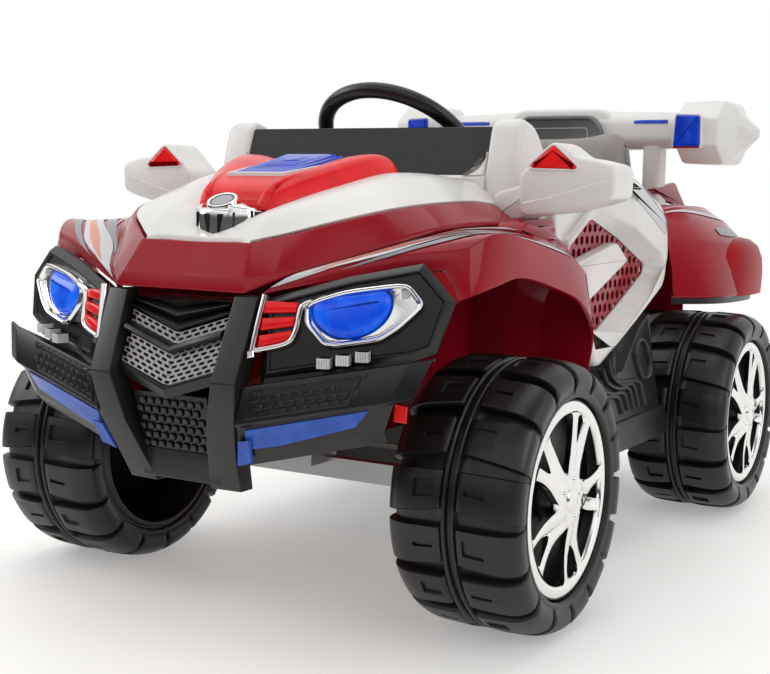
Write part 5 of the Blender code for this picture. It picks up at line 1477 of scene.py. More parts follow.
# %% Lamp glass and the small clear square
bm = bmesh.new()
pillow(bm, lamp_outline, ((-.014, 0), (.0012, 0), (.004, .0008), (.0062, .0028), (.0078, .006),
                          (.0088, .01), (.0093, .014)), on_mask)
pair("headlight_glass", bm, HEAD_GLASS, "blue_lens", ("headlight_lens",), 60)
bm = bmesh.new()
square = [(.156, .012), (.166, .0128), (.1655, .0045), (.1575, .003)]
pillow(bm, square, ((-.001, 0), (.0022, 0), (.003, .0008)), on_mask)
pair("clear_square", bm, CLEAR_LAMP, "chrome", angle=40)
show("lamp pieces", 8)

# %% [markdown]
# ## Grille
# Between the posts lies a black block with V louvers. Two areas of silver mesh show between it and
# the V bar, and a black chin closes it below. The mesh is a punched strip: slots in staggered rows,
# folded along the middle of the car. One cell is modelled and Geometry Nodes lays the rows.

# %% Louvers and chin
GRILLE_HALF = .069
GRILLE_RISE = .022
GRILLE_TOP = .384


def grille_place(x, y, z, lift=1.0):
    """A place on the grille, which is folded in the middle and rises to its sides."""
    share = abs(x) / GRILLE_HALF
    return fore(x, y + .006 * share, min(z + GRILLE_RISE * lift * share, GRILLE_TOP))


def v_rows(profile, places):
    """The rows of a black bar folded in the middle. The profile is (y, z, share of the rise)."""
    return [[grille_place(x, y, z, lift) for y, z, lift in profile] for x in places]


bm = bmesh.new()
LOUVERS = [
    [(-.2, .388, .3), (-.237, .386, .3), (-.2395, .3815, .4), (-.233, .374, .5), (-.2, .374, .5)],
    [(-.2, .376, .5), (-.233, .3745, .5), (-.2425, .369, .6), (-.242, .366, .7), (-.235, .3595, .8),
     (-.2, .359, .8)],
    [(-.2, .3605, .8), (-.2345, .36, .8), (-.244, .3545, .9), (-.2436, .3505, 1), (-.237, .347, 1),
     (-.2, .346, 1)],
    [(-.2, .3345, 1), (-.242, .3345, 1), (-.256, .332, 1), (-.259, .328, 1), (-.255, .324, 1),
     (-.244, .3235, 1), (-.2, .3235, 1)],
    [(-.2, .29, 1), (-.256, .2905, 1), (-.266, .288, 1), (-.2665, .285, 1), (-.262, .274, 1),
     (-.2, .272, 1)],
]
for profile in LOUVERS:
    closed_net(bm, v_rows(profile, (-GRILLE_HALF, -GRILLE_HALF / 2, 0, GRILLE_HALF / 2, GRILLE_HALF)))
WALL_PROFILE = [(-.229, .352, 1), (-.235, .32, 1), (-.248, .288, 1), (-.2, .288, 1), (-.2, .352, 1)]
closed_net(bm, v_rows(WALL_PROFILE, (-.066, -.033, 0, .033, .066)))
CHIN_HALF = .052
CHIN_PROFILE = [(-.255, .279), (-.2385, .213), (-.199, .213), (-.199, .279)]
closed_net(bm, [[fore(x, y, z) for y, z in CHIN_PROFILE] for x in (-CHIN_HALF, CHIN_HALF)])
bmesh.ops.recalc_face_normals(bm, faces=bm.faces)
bevelled(bm, .0009, 2, 20)
knobs = field(knob_cell(.0045, .004, .0022, .0014), BLACK, 9, 6, (.0115, .0102), .5, lambda u, v: u < .09,
              lambda u, v, h: fore(u - .0455, -.24 - .016 * (v + .004) / .063 - h, .218 + v - .25 * h))
add(bm, knobs)
piece("grille_moulding", bm, BLACK, "black_plastic", ("grille_block",), 26)
show("grille block faces")


# %% Silver mesh and the bull bar
def slot_hole(half_long, half_short):
    """A slot with pointed-round ends, ten corners."""
    quarter = [(half_long, 0.0), (half_long * .86, half_short * .72), (half_long * .55, half_short)]
    top = quarter + [(-x, y) for x, y in reversed(quarter)]
    return top + [(x, -y) for x, y in reversed(top[1:-1])]


MESH_PITCH = (.0108, .0058)
MESH_THICK = .0012
bm = bmesh.new()
for rows, low_y, low_z, top_y, top_z in ((3, -.244, .331, -.2395, .3475), (7, -.26, .29, -.2475, .3275)):
    slope_y = (top_y - low_y) / (top_z - low_z)

    def lay(u, v, h):
        spot = grille_place(u - .0648, low_y + slope_y * (v - .0005), low_z + v * .92 + .002)
        return spot + Vector((0, -h, 0))
    cells = field(holed_cell(*MESH_PITCH, slot_hole(.004, .0017), MESH_THICK), MESH_SILVER, 13, rows,
                  MESH_PITCH, .5, lambda u, v: u < .13, lay, MESH_THICK)
    add(bm, cells)
piece("grille_slots", bm, MESH_SILVER, "silver_paint", ("grille_mesh",), 30)
softened("bull_bar", .0042, CHARCOAL, "black_plastic", "root", 3)
print("grille mesh faces:", len(MADE[-2].data.polygons))

# %% [markdown]
# ## Windshield cowl and mirrors
# The cowl is a white moulding: a bar under the glass and two fairings that rise beside it and run
# down again behind the dashboard. The glass is a flat dark plate, clipped between them. Each mirror is
# a hollow box on a short neck, with a red triangular glass in a raised border.

# %% Cowl with its fairings
PILLAR_LINE = [(.132, .4995), (.132, .531), (.15, .594), (.166, .604), (.198, .596), (.238, .555),
               (.262, .49), (.262, .432), (.179, .432), (.179, .4995)]
COWL_BAR = [(.129, .5), (.129, .5265), (.1325, .53), (.161, .53), (.165, .526), (.165, .5)]


def rounded(outline, radius, steps=4, corners=None):
    """An outline whose corners, or only those named, are rounded."""
    count, line = len(outline), []
    for i in range(count):
        before, here, after = (Vector(outline[k][:2]) for k in (i - 1, i, (i + 1) % count))
        if corners is not None and i not in corners:
            line.append(tuple(here))
            continue
        reach = min(radius, (here - before).length * .45, (after - here).length * .45)
        start = here + (before - here).normalized() * reach
        end = here + (after - here).normalized() * reach
        for k in range(steps + 1):
            t = k / steps
            line.append(tuple(start * (1 - t) ** 2 + here * 2 * t * (1 - t) + end * t ** 2))
    return line


bm = bmesh.new()
for side in (-1, 1):
    pillow(bm, rounded(PILLAR_LINE, .02, 5, (2, 3, 4, 5, 6)),
           ((.1895, .0085), (.19, .0045), (.1915, .0018), (.194, .0003), (.197, 0), (.221, 0), (.226, .001),
            (.23, .0034), (.2325, .0068), (.2338, .011), (.234, .015)),
           lambda u, v, h: fore(side * h, u, v))
    fillet = [(.19, .53), (.16, .53)]
    fillet += [(.16 + .03 * sin(radians(a)), .56 - .03 * cos(radians(a))) for a in (15, 30, 45, 60, 75)]
    fillet += [(.19, .56)]
    pillow(bm, fillet, ((.1425, 0), (.131, 0), (.1295, .001)),
           lambda u, v, h: fore(side * u, h + (v - .53) * .33, v))
pillow(bm, COWL_BAR, ((-.1915, 0), (.1915, 0)), on_side)
piece("windshield_cowl_moulding", bm, WHITE, "white_gloss", ("windshield_cowl",), 40)
show("cowl faces")

# %% Windshield glass
bm = bmesh.new()
glass = rounded([(-.1897, 0), (.1897, 0), (.1897, .066), (-.1897, .066)], .004)


def on_glass(u, v, h):
    """A place on the leaning windshield."""
    return fore(u, .135 + v * .353 - h * .94, .53 + v * .95 + h * .335)


pillow(bm, glass, ((-.0038, 0), (-.0004, 0), (0, .0006)), on_glass)
piece("windshield_glass", bm, DARK_GLASS, "dark_glass", ("windshield",), 30)
print("glass:", MADE[-1].name)

# %% Mirrors
MIRROR_LINE = [(.2565, .531), (.27, .5425), (.2925, .5655), (.3012, .5705), (.3105, .567), (.33, .5525),
               (.35, .55), (.376, .544), (.3815, .536), (.3805, .504), (.364, .497), (.318, .486),
               (.266, .48), (.2575, .486)]
MIRROR_GLASS = [(.302, .5672), (.2725, .5425), (.2745, .5392), (.331, .538), (.333, .5405)]


def on_mirror(u, v, h):
    """The front of the left mirror: outward, up and forward."""
    return fore(u, .095 - h, v)


bm = bmesh.new()
outline = rounded(MIRROR_LINE, .007, 4)
pillow(bm, outline, ((-.071, .0064), (-.0695, .0042), (-.066, .002), (-.06, .0005), (-.054, 0), (-.006, 0),
                     (-.0028, .0006), (-.0008, .002), (0, .004)), on_mirror)
glass_line = rounded(MIRROR_GLASS, .005, 4)
window_frame(bm, inset(glass_line, -.003), glass_line,
             ((-.002, -.0006), (.0006, 0), (.0014, .0006), (.0018, .0012)),
             ((-.002, 0), (.0004, 0), (.0012, -.0002), (.0018, -.001)), on_mirror)
band(bm, curve([(.2625, .4955), (.3, .5035), (.34, .515), (.369, .5245)], 5),
     ((.0012, -.002), (.0016, .0002), (.0004, .002), (-.0012, .0019), (-.01, .0002), (-.01, -.002)),
     on_mirror)
neck = rounded([(.214, .474), (.214, .508), (.256, .52), (.276, .518), (.276, .484), (.248, .474)], .006)
pillow(bm, neck, ((.164, .006), (.1625, .0026), (.158, 0), (.116, 0), (.111, .0026), (.1095, .006)),
       lambda u, v, h: fore(u, h, v))
pair("mirror_moulding", bm, WHITE, "white_gloss", ("mirror",), 38)
bm = bmesh.new()
pillow(bm, glass_line, ((-.001, 0), (.0006, .0001), (.0018, .001), (.0024, .003), (.0026, .006)), on_mirror)
pair("mirror_glass", bm, RED_GLASS, "red_lens", angle=50)
show("mirror pieces", 4)

# %% [markdown]
# ## Front fenders
# A fender starts under the lip of the hood, slopes out to a soft crease, turns down over the wheel
# and ends in a flap behind it. Its edge is folded in, as blow-moulded and pressed shells need to
# stay stiff. The stickers are laid on the slope: a plain stripe that breaks up into tongues.

# %% Fender shells
FENDER_CREASE = [(.28, -.132, .424), (.3, -.118, .448), (.316, -.085, .464), (.322, -.045, .461),
                 (.324, -.005, .453), (.326, .055, .441), (.326, .115, .427), (.322, .165, .402)]
FENDER_ARCH = [(.299, -.136, .392), (.31, -.12, .398), (.32, -.09, .406), (.326, -.05, .414),
               (.329, -.01, .411), (.331, .055, .397), (.331, .125, .378), (.326, .178, .345)]
FENDER_LIP = [(.104, -.226, .395)] + [(x, y, z - .0006) for x, y, z in HOOD_EDGE[2:-1]]
FENDER_LIP += [(.2505, .111, .4665), (.251, .172, .4612)]
FLAP = [[(.154, .195, .384), (.206, .188, .378), (.25, .198, .366), (.3, .19, .35), (.323, .19, .318)],
        [(.154, .18, .27), (.206, .174, .27), (.25, .186, .269), (.3, .18, .268), (.317, .183, .268)]]


def fender_rows():
    """Ten stations along the fender, each from the hood out to the arch, then smoothed along."""
    stations = []
    for lip, crease, arch in zip(FENDER_LIP, FENDER_CREASE, FENDER_ARCH):
        lip, crease, arch = fore(*lip), fore(*crease), fore(*arch)
        middles = [lip.lerp(crease, share) + Vector((0, 0, .005)) for share in (1 / 3, 2 / 3)]
        under = Vector((lip.x * .93, lip.y + .004, lip.z - .006))
        fold = arch + Vector((-.005, 0, -.0016))
        stations.append([under, lip, *middles, crease, arch, fold])
    for row in FLAP:
        places = [fore(*point) for point in row]
        stations.append([places[0] + Vector((-.004, 0, 0)), *places[:4], places[4],
                         places[4] + Vector((-.004, -.002, 0))])
    lines = [curve([station[i] for station in stations], 5) for i in range(7)]
    return [list(row) for row in zip(*lines)]


fender_net = fender_rows()
fender = shell([list(line) for line in zip(*fender_net)], .0024, BODY_INSIDE, .003, 2, 17)
pair("front_fender_moulding", fender, RED, "red_gloss", ("front_fender",), 50)
show("fender faces")


# %% Stickers on the fender
def on_net(rows, s, t, rise):
    """A place on a net of rows: s counts rows, t counts points in a row, rise is outward."""
    i, j = min(int(s), len(rows) - 2), min(int(t), len(rows[0]) - 2)
    s, t = s - i, t - j
    a, b, c, d = rows[i][j], rows[i][j + 1], rows[i + 1][j], rows[i + 1][j + 1]
    normal = ((c - a) * (1 - t) + (d - b) * t).cross((b - a) * (1 - s) + (d - c) * s).normalized()
    if normal.z < 0:
        normal = -normal
    return (a * (1 - s) + c * s) * (1 - t) + (b * (1 - s) + d * s) * t + normal * rise


def ribbon(bm, rows, line, rise):
    """A thin sticker on a net: the line gives (s, t of one edge, t of the other edge)."""
    columns = []
    for share in range(9):
        columns.append([on_net(rows, s, low + (high - low) * share / 8, rise) for s, low, high in line])
    net(bm, columns)


def fine(line, steps=6):
    """A sticker's line, made smooth."""
    return [tuple(point) for point in curve(line, steps)]


for name, material, lines in (
    ("sticker_pale", STICKER_PALE,
     ([(2, 1.02, 1.1), (4, 1.08, 1.8), (6, 1.12, 2.5), (9, 1.2, 2.8), (11, 1.45, 3),
       (13, 1.95, 3.2), (15, 2.4, 3.4), (18, 2.9, 3.65), (22, 3.35, 3.9), (26, 3.55, 3.94),
       (30, 3.7, 3.94), (33, 3.85, 3.88)],
      [(20, 1.2, 1.22), (23, 1.3, 1.9), (26, 1.5, 2.2), (29, 1.8, 2.3), (33, 2.2, 2.25)])),
    ("sticker_grey", STICKER_GREY,
     ([(8, 1.02, 1.06), (10, 1.05, 1.25), (12, 1.1, 1.7), (15, 1.3, 2.1), (18, 1.8, 2.6),
       (21, 2.4, 2.9), (24, 2.9, 2.95)],
      [(3, 2.1, 2.15), (5, 2.45, 2.8), (8, 2.9, 3.3), (10, 3.1, 3.5), (12, 3.3, 3.65),
       (15, 3.5, 3.75), (17, 3.8, 3.82)])),
    ("sticker_amber", STICKER_AMBER,
     ([(4, 1.5, 1.55), (7, 1.75, 2.25), (9, 1.95, 2.5), (12, 2.4, 2.85), (15, 3, 3.05)],
      [(16, 1.42, 1.45), (19, 1.5, 1.75), (22, 1.9, 1.95)])),
):
    bm = bmesh.new()
    for line in lines:
        ribbon(bm, fender_net, fine(line), .0015 if material is STICKER_AMBER else .0012)
    pair(name, bm, material, angle=60)
print("sticker pieces:", len(MADE[-6:]))

# %% Front tip of the fender
bm = bmesh.new()
front_edge = [place + Vector((0, 0, -.0012)) for place in fender_net[0][2:]]
net(bm,
    [[place + Vector(shift) for place in front_edge]
     for shift in ((0, 0, 0), (-.012, -.01, -.004), (-.034, -.01, -.016))])
pair("fender_tip", bm, RED_DEEP, angle=40)
print("tip:", MADE[-1].name)

# %% Red stepped trims behind the fender
bm = bmesh.new()
UPPER_TRIM = [(.07, .462), (.098, .478), (.194, .476), (.203, .4595), (.18, .448)]
LOWER_TRIM = [(.046, .462), (.062, .4745), (.13, .464), (.1955, .442), (.1975, .426), (.15, .424)]
for trim, low, high in ((UPPER_TRIM, .232, .262), (LOWER_TRIM, .236, .284)):
    pillow(bm, rounded(trim, .006), ((low, 0.0), (high - .004, 0.0), (high - .0012, .0012), (high, .004)),
           on_side)
pair("stepped_trim", bm, RED, "red_gloss", angle=40)
print("trims:", MADE[-2].name, MADE[-1].name)

# %% [markdown]
# ## Side frames
# On each side a broad white frame surrounds a red honeycomb panel. The frame is flat outside and
# slopes in to its window. The panel is a plate with six-sided holes in staggered rows, in front of a
# dark maroon sheet that is painted shade. A bare badge crosses it, and a bare label lies on the frame
# behind the door opening.

# %% Frame
FRAME_LINE = [(.232, .44), (.222, .487), (.3, .515), (.385, .5375), (.405, .54), (.44, .538), (.466, .531),
              (.577, .492), (.6, .464), (.608, .42), (.602, .398), (.534, .348), (.44, .306), (.336, .268),
              (.318, .276), (.3, .3), (.262, .36)]
MESH_WINDOW = [(.283, .436), (.357, .4745), (.457, .445), (.571, .4035), (.567, .389), (.47, .348),
               (.383, .314), (.3, .345)]


def on_frame(u, v, h):
    """The frame thins out in front, where it runs in under the fender."""
    thin = min(max((u - .34) / .115, 0.0), 1.0)
    high = min(max((v - .35) / .06, 0.0), 1.0)
    share = 1.0 - high * (1.0 - thin ** 2 * (3 - 2 * thin)) * .82
    return fore(.2453 + (h - .2453) * share, u, v)


bm = bmesh.new()
window_frame(bm, rounded(FRAME_LINE, .016, 4), rounded(MESH_WINDOW, .008, 4),
             ((.2453, .001), (.2462, 0), (.264, 0), (.2695, .001), (.273, .0034), (.2748, .0068),
              (.2753, .011)), ((.2453, 0), (.2478, 0), (.2486, -.0006), (.25, -.0022), (.269, -.0135),
                               (.2732, -.016), (.2748, -.0182), (.2753, -.0215)), on_frame)
pair("side_frame_moulding", bm, WHITE, "white_gloss", ("side_frame",), 36)
show("frame faces")

# %% Honeycomb panel with a dark sheet of painted shade behind it, and the back of the frame
HEX_PITCH = (.0187, .0166)
hexagon = [(.0064 * cos(radians(a)), .007 * sin(radians(a))) for a in (30, 90, 150, 210, 270, 330)]
cells = field(holed_cell(*HEX_PITCH, hexagon, .003), RED, 20, 15, HEX_PITCH, .5,
              lambda u, v: point_inside(u + .245, v + .262, in_plane(inset(MESH_WINDOW, -.02))),
              lambda u, v, h: on_side(u + .245, v + .262, .2448 + h), .003)
pair("side_mesh_plate", cells, RED, "red_gloss", ("side_mesh",), 30)
# A dark maroon sheet behind the holes: painted shade seen through the honeycomb.
bm = bmesh.new()
pillow(bm, inset(MESH_WINDOW, -.012), ((.235, 0), (.2372, 0)), on_side)
pair("side_wall", bm, PAINTED_SHADE_MAROON, angle=30)
bm = bmesh.new()
window_frame(bm, inset(MESH_WINDOW, -.02), inset(MESH_WINDOW, .002), ((.2385, .002), (.24, 0), (.254, 0)),
             ((.2385, -.001), (.24, 0), (.241, 0)), on_side)
pair("side_frame_back", bm, WHITE, angle=40)
show("panel pieces", 6)

# %% Bare badge and label
bm = bmesh.new()
badge = rounded([(.258, .412), (.4197, .44), (.465, .4125), (.318, .361)], .009, 4)
pillow(bm, badge, ((.244, 0), (.26, 0), (.2616, .0006), (.2624, .002), (.262, .003)), on_side)
pair("side_badge", bm, WHITE, "white_gloss", angle=40)
LABEL = [(.415, .52), (.49, .518), (.59, .472), (.586, .448)]
bm = bmesh.new()
label = rounded(LABEL, .007, 4)
band(bm, label, ((.0004, .2745), (.0004, .2757), (-.0008, .2757), (-.0008, .2745)), on_side, closed=True)
pair("label_line", bm, STICKER_GREY, angle=40)
bm = bmesh.new()
pillow(bm, inset(label, .003), ((.2745, 0), (.2754, 0), (.2756, .0006)), on_side)
pair("label_field", bm, STICKER_PALE, angle=40)
show("badge and label", 6)

# %% [markdown]
# ## Footboards
# Below the frames the dark floor tub comes out as a footboard. Its wall carries steps that nest in
# one another, a raised oval, and a smooth ledge along the bottom. The ribs stiffen the wall.

# %% Ribs on the footboard wall
SILL_RIBS = [
    [(.385, .286), (.384, .278), (.379, .252), (.412, .241), (.471, .234), (.48, .209), (.481, .2)],
    [(.364, .278), (.364, .272), (.373, .251), (.404, .2375), (.445, .233), (.455, .208), (.456, .2)],
    [(.341, .266), (.342, .262), (.351, .246), (.386, .2345), (.426, .23), (.436, .205), (.437, .2)],
    [(.325, .252), (.333, .238), (.368, .229), (.406, .225), (.416, .2)],
    [(.318, .246), (.335, .23), (.382, .222), (.393, .198)],
]
SILL_OVAL = [(.499, .296), (.526, .283), (.527, .238), (.484, .235), (.471, .281)]
RIB = ((-.0042, -.004), (-.0036, .002), (-.002, .0052), (0, .006), (.002, .0052), (.0036, .002),
       (.0042, -.004))


def on_sill(u, v, h):
    """The wall of the footboard leans in as it rises."""
    return fore(.2955 - (v - .146) * .171 + h, u, v)


bm = bmesh.new()
for rib in SILL_RIBS:
    band(bm, curve(rib, 4), RIB, on_sill)
band(bm, rounded(SILL_OVAL, .02, 5), RIB, on_sill, closed=True)
ledge = rounded([(.3, .148), (.3, .188), (.56, .19), (.562, .148)], .01)
pillow(bm, ledge, ((-.006, 0), (.0035, 0), (.0055, .0012), (.0064, .004)), on_sill)
pair("sill_ribs", bm, CHARCOAL, "black_plastic", angle=40)
show("sill faces")

# %% [markdown]
# ## Steering wheel and seat
# The steering wheel is moulded in two halves round a hollow ring, with three spokes and a hub that
# holds the horn button. The seat is a single thin moulding with raised sides. Behind it a dark silver
# panel, its label left bare, stands where a headrest would be.

# %% Steering wheel
STEERING_MIDDLE = fore(0, .241, .571)
STEERING_TILT = radians(49)
steering_back = Vector((0, cos(STEERING_TILT), sin(STEERING_TILT)))
steering_down = Vector((0, sin(STEERING_TILT), -cos(STEERING_TILT)))


def on_steering(angle, radius, height):
    """A place on the steering wheel: angle from the right-hand side, radius, and height to the driver."""
    return (STEERING_MIDDLE + Vector((1, 0, 0)) * radius * cos(angle) - steering_down * radius * sin(angle)
            + steering_back * height)


bm = bmesh.new()
RING_RADIUS, TUBE_RADIUS = .11, .0112
RING_STEPS, TUBE_STEPS = 72, 14
ring_rows = []
for step in range(RING_STEPS):
    angle = 2 * pi * step / RING_STEPS
    grip = .0012 * cos(12 * angle) if sin(angle) < .35 else 0.0
    row = []
    for k in range(TUBE_STEPS):
        turn = 2 * pi * k / TUBE_STEPS
        tube = TUBE_RADIUS + grip * max(0.0, -cos(turn))
        row.append(on_steering(angle, RING_RADIUS + tube * cos(turn), .95 * tube * sin(turn)))
    ring_rows.append(row)
net(bm, ring_rows, round_ends=True, closed=True)
for angle in (0, pi, -pi / 2):
    spoke = []
    for radius, wide, low, high in ((.024, .015, -.012, .004), (.05, .011, -.009, .004),
                                    (.08, .01, -.007, .004), (.104, .013, -.006, .005)):
        row = []
        for side, height in ((-1, low), (-1, high - .002), (-.8, high), (.8, high), (1, high - .002),
                             (1, low)):
            row.append(on_steering(angle + side * wide / radius, radius, height))
        spoke.append(row)
    closed_net(bm, spoke)
hub = [(.03 * cos(radians(a)), .03 * sin(radians(a))) for a in range(0, 360, 12)]
pillow(bm, hub, ((-.02, .004), (-.014, 0), (.002, 0), (.006, .0016), (.0075, .005), (.0075, .011),
                 (.006, .0116)), lambda u, v, h: STEERING_MIDDLE + Vector((u, 0, 0)) - steering_down * v
       + steering_back * h)
bmesh.ops.recalc_face_normals(bm, faces=bm.faces)
piece("steering_wheel_moulding", bm, BLACK, "black_plastic", ("steering_wheel",), 40, body="steering")
softened("horn_button", .0016, RED, "red_gloss", "horn", 2)
print("steering faces:", len(MADE[-2].data.polygons))

# %% Seat
SEAT_LINE = [(-.282, .29), (-.277, .318), (-.268, .333), (-.25, .338), (-.18, .33), (-.11, .322),
             (-.088, .326), (-.076, .342), (-.066, .4), (-.052, .5), (-.043, .57), (-.037, .59),
             (-.024, .6), (-.01, .596), (-.004, .582), (-.01, .555)]
# place across the seat, rise of the side bolster
SEAT_SIDES = [(0, 0), (.04, .0005), (.08, .003), (.105, .0085), (.122, .015), (.138, .0175), (.15, .014),
              (.158, .006), (.1635, -.008), (.165, -.028)]
seat_line = curve([aft(0, y, z) for y, z in SEAT_LINE], 3)
seat_rows = []
for i, here in enumerate(seat_line):
    before, after = seat_line[max(i - 1, 0)], seat_line[min(i + 1, len(seat_line) - 1)]
    along = (after - before).normalized()
    normal = Vector((0, -along.z, along.y))
    ends = min(i, 6) / 6 * min(len(seat_line) - 1 - i, 17) / 17
    narrow = 1 - .1 * max(0.0, (here.z - .5) / .105) ** 2
    row = []
    for x, rise in SEAT_SIDES:
        row.append(here + Vector((x * narrow, 0, 0)) + normal * (rise * (ends if rise > 0 else 1)))
    seat_rows.append(both_sides(row))
seat = shell(seat_rows, .0026, aft(0, -.06, .3))
piece("seat_moulding", seat, SEAT_GREY, "seat_grey", ("seat",), 60)
show("seat faces")


# %% Headrest panel
def on_headrest(u, v, h):
    """A place on the front of the headrest panel."""
    return aft(u, .044 - h, v)


bm = bmesh.new()
headrest = rounded([(-.084, .56), (.084, .56), (.084, .62), (.066, .644), (-.066, .644), (-.084, .62)],
                   .016, 5)
pillow(bm, headrest, ((-.0056, 0), (.003, 0), (.005, .0012), (.0058, .0034), (.0056, .0062), (.003, .0082),
                      (.0026, .009)), on_headrest)
piece("headrest_moulding", bm, HEADREST_GREY, "silver_paint", ("headrest_panel",), 36)
bm = bmesh.new()
band(bm, rounded([(-.056, .596), (.056, .596), (.056, .622), (-.056, .622)], .006),
     ((.0004, .002), (.0004, .0032), (-.0006, .0032), (-.0006, .002)), on_headrest, closed=True)
piece("headrest_line", bm, STICKER_PALE, angle=36)
show("headrest", 2)

# %% [markdown]
# ## Rear of the car
# The rear fenders slope out over the wheels like the front ones and end in a bulged corner piece. A
# white bar on two legs carries the lamp housings, eight-sided and tapered to the outside, each with a
# blue glass in front. Two small red fins stand on the deck before the legs.

# %% Rear fenders
REAR_FENDER = [
    (-.116, (.236, .478), (.262, .44), (.276, .348)), (-.05, (.246, .49), (.3, .436), (.322, .347)),
    (.03, (.25, .492), (.318, .432), (.335, .346)), (.12, (.245, .488), (.318, .428), (.333, .346)),
    (.186, (.222, .476), (.29, .42), (.305, .35)),
]
stations = []
for y, top, crease, foot in REAR_FENDER:
    start = aft(.1905, y, top[1] - .003)
    top, crease, foot = aft(top[0], y, top[1]), aft(crease[0], y, crease[1]), aft(foot[0], y, foot[1])
    bulge = Vector((.003, 0, .003))
    stations.append([start, top, top.lerp(crease, .5) + bulge, crease,
                     crease.lerp(foot, .5) + Vector((.003, 0, 0)), foot, foot + Vector((-.005, 0, -.001))])
rear_net = [list(row) for row in zip(*[curve([station[i] for station in stations], 6) for i in range(7)])]
rear_fender = shell([list(line) for line in zip(*rear_net)], .0024, aft(.1, .03, .36), .004, 3, 15)
pair("rear_fender_moulding", rear_fender, RED, "red_gloss", ("rear_fender",), 50)
show("rear fender faces")

# %% Corner bulge, flap strip and rear stickers
corner_rows = []
for y, x_in, x_out, top in ((-.03, .3, .309, .392), (0, .296, .324, .42), (.04, .29, .3385, .436),
                            (.09, .286, .344, .441), (.14, .282, .342, .438), (.172, .276, .334, .428),
                            (.186, .27, .318, .416), (.1862, .264, .292, .396)):
    row = []
    for share_x, share_z in ((0, 1), (.35, 1), (.65, .965), (.86, .86), (.97, .66), (1, .4), (.985, .15),
                             (.97, 0)):
        x = x_in + (x_out - x_in) * share_x
        row.append(aft(x, y, .345 + (top - .345) * share_z))
    corner_rows.append(row)
smooth = [list(row) for row in zip(*[curve([row[i] for row in corner_rows], 4) for i in range(8)])]
corner = shell(smooth, .0022, aft(.2, .06, .36))
pair("rear_corner_bulge", corner, RED_DEEP, "red_gloss", angle=50)
drop_rows = [[row[5] + Vector((-.003, 0, lift)) for lift in (.006, -.002, -.01)] for row in rear_net]
flap_strip = shell(drop_rows, .0024, aft(.2, .03, .36))
pair("rear_flap_strip", flap_strip, BLACK, "black_plastic", angle=40)
for name, material, line in (
    ("rear_sticker_grey", STICKER_GREY, [(11, 2.3, 2.62), (14, 2.25, 2.7), (17, 2.35, 2.6)]),
    ("rear_sticker_pale", STICKER_PALE, [(3, 1.15, 1.22), (9, 1.3, 1.48), (15, 1.55, 1.8),
                                         (19, 1.95, 2.05)]),
):
    bm = bmesh.new()
    ribbon(bm, rear_net, fine(line), .0012)
    pair(name, bm, material, angle=60)
show("corner pieces", 8)

# %% Rear bar and lamp housings
BAR_MIDDLE = (.082, .618)
POD_MIDDLE = (.076, .612)
bm = bmesh.new()
bar_section = rounded([(-.032, -.018), (-.032, .018), (-.016, .034), (.016, .034), (.032, .018),
                       (.032, -.018), (.016, -.034), (-.016, -.034)], .008, 3)


def on_bar(u, v, h):
    """A place round the rear bar, which thins out a little to its ends."""
    return aft(h, BAR_MIDDLE[0] + u, BAR_MIDDLE[1] + v * (1 - .1 * min(abs(h) / .23, 1.0)))


pillow(bm, bar_section, ((-.228, .001), (-.15, 0), (-.1, -.001), (.1, -.001), (.15, 0), (.228, .001)),
       on_bar)
collar = rounded([(-.106, .556), (.106, .556), (.114, .606), (.088, .656), (-.088, .656), (-.114, .606)],
                 .022, 5)
pillow(bm, collar, ((.112, .02), (.108, .013), (.098, .005), (.086, .001), (.06, 0), (.055, .001),
                    (.0525, .0034), (.0515, .007)), lambda u, v, h: aft(u, h, v))
for side in (-1, 1):
    leg = rounded([(.15, .06), (.18, .06), (.18, .104), (.15, .104)], .008, 4)
    pillow(bm, leg, ((.4925, -.004), (.499, -.001), (.52, 0), (.606, 0)),
           lambda u, v, h: aft(side * u, v, h))
    pod_rows = []
    for x, half_y, half_z in ((.222, .052, .03), (.2235, .064, .038), (.228, .078, .046),
                              (.234, .0835, .0505), (.27, .0835, .0518), (.299, .08, .0515),
                              (.306, .064, .048), (.313, .045, .04), (.319, .032, .03), (.333, .017, .017),
                              (.345, .006, .007)):
        top = [(half_y, half_z * .42), (half_y * .52, half_z), (-half_y * .52, half_z),
               (-half_y, half_z * .42)]
        octagon = top + [(y, -z) for y, z in reversed(top)]
        pod_rows.append([aft(side * x, POD_MIDDLE[0] + y, POD_MIDDLE[1] + z) for y, z in octagon])
    made = bmesh.new()
    closed_net(made, pod_rows)
    bmesh.ops.recalc_face_normals(made, faces=made.faces)
    bevelled(made, .003, 3, 22)
    add(bm, made)
piece("rear_bar_moulding", bm, WHITE, "white_gloss", ("rear_bar",), 34)
show("rear bar faces")

# %% Rear lamps, stripes on the bar and fins on the deck
bm = bmesh.new()
lamp_line = rounded([(.229, .588), (.233, .6385), (.2715, .637), (.2725, .588)], .003)


def on_lamp(u, v, h):
    """A place on the front of a lamp housing."""
    return aft(u, -.007 + (u - .234) * .02 - h, v)


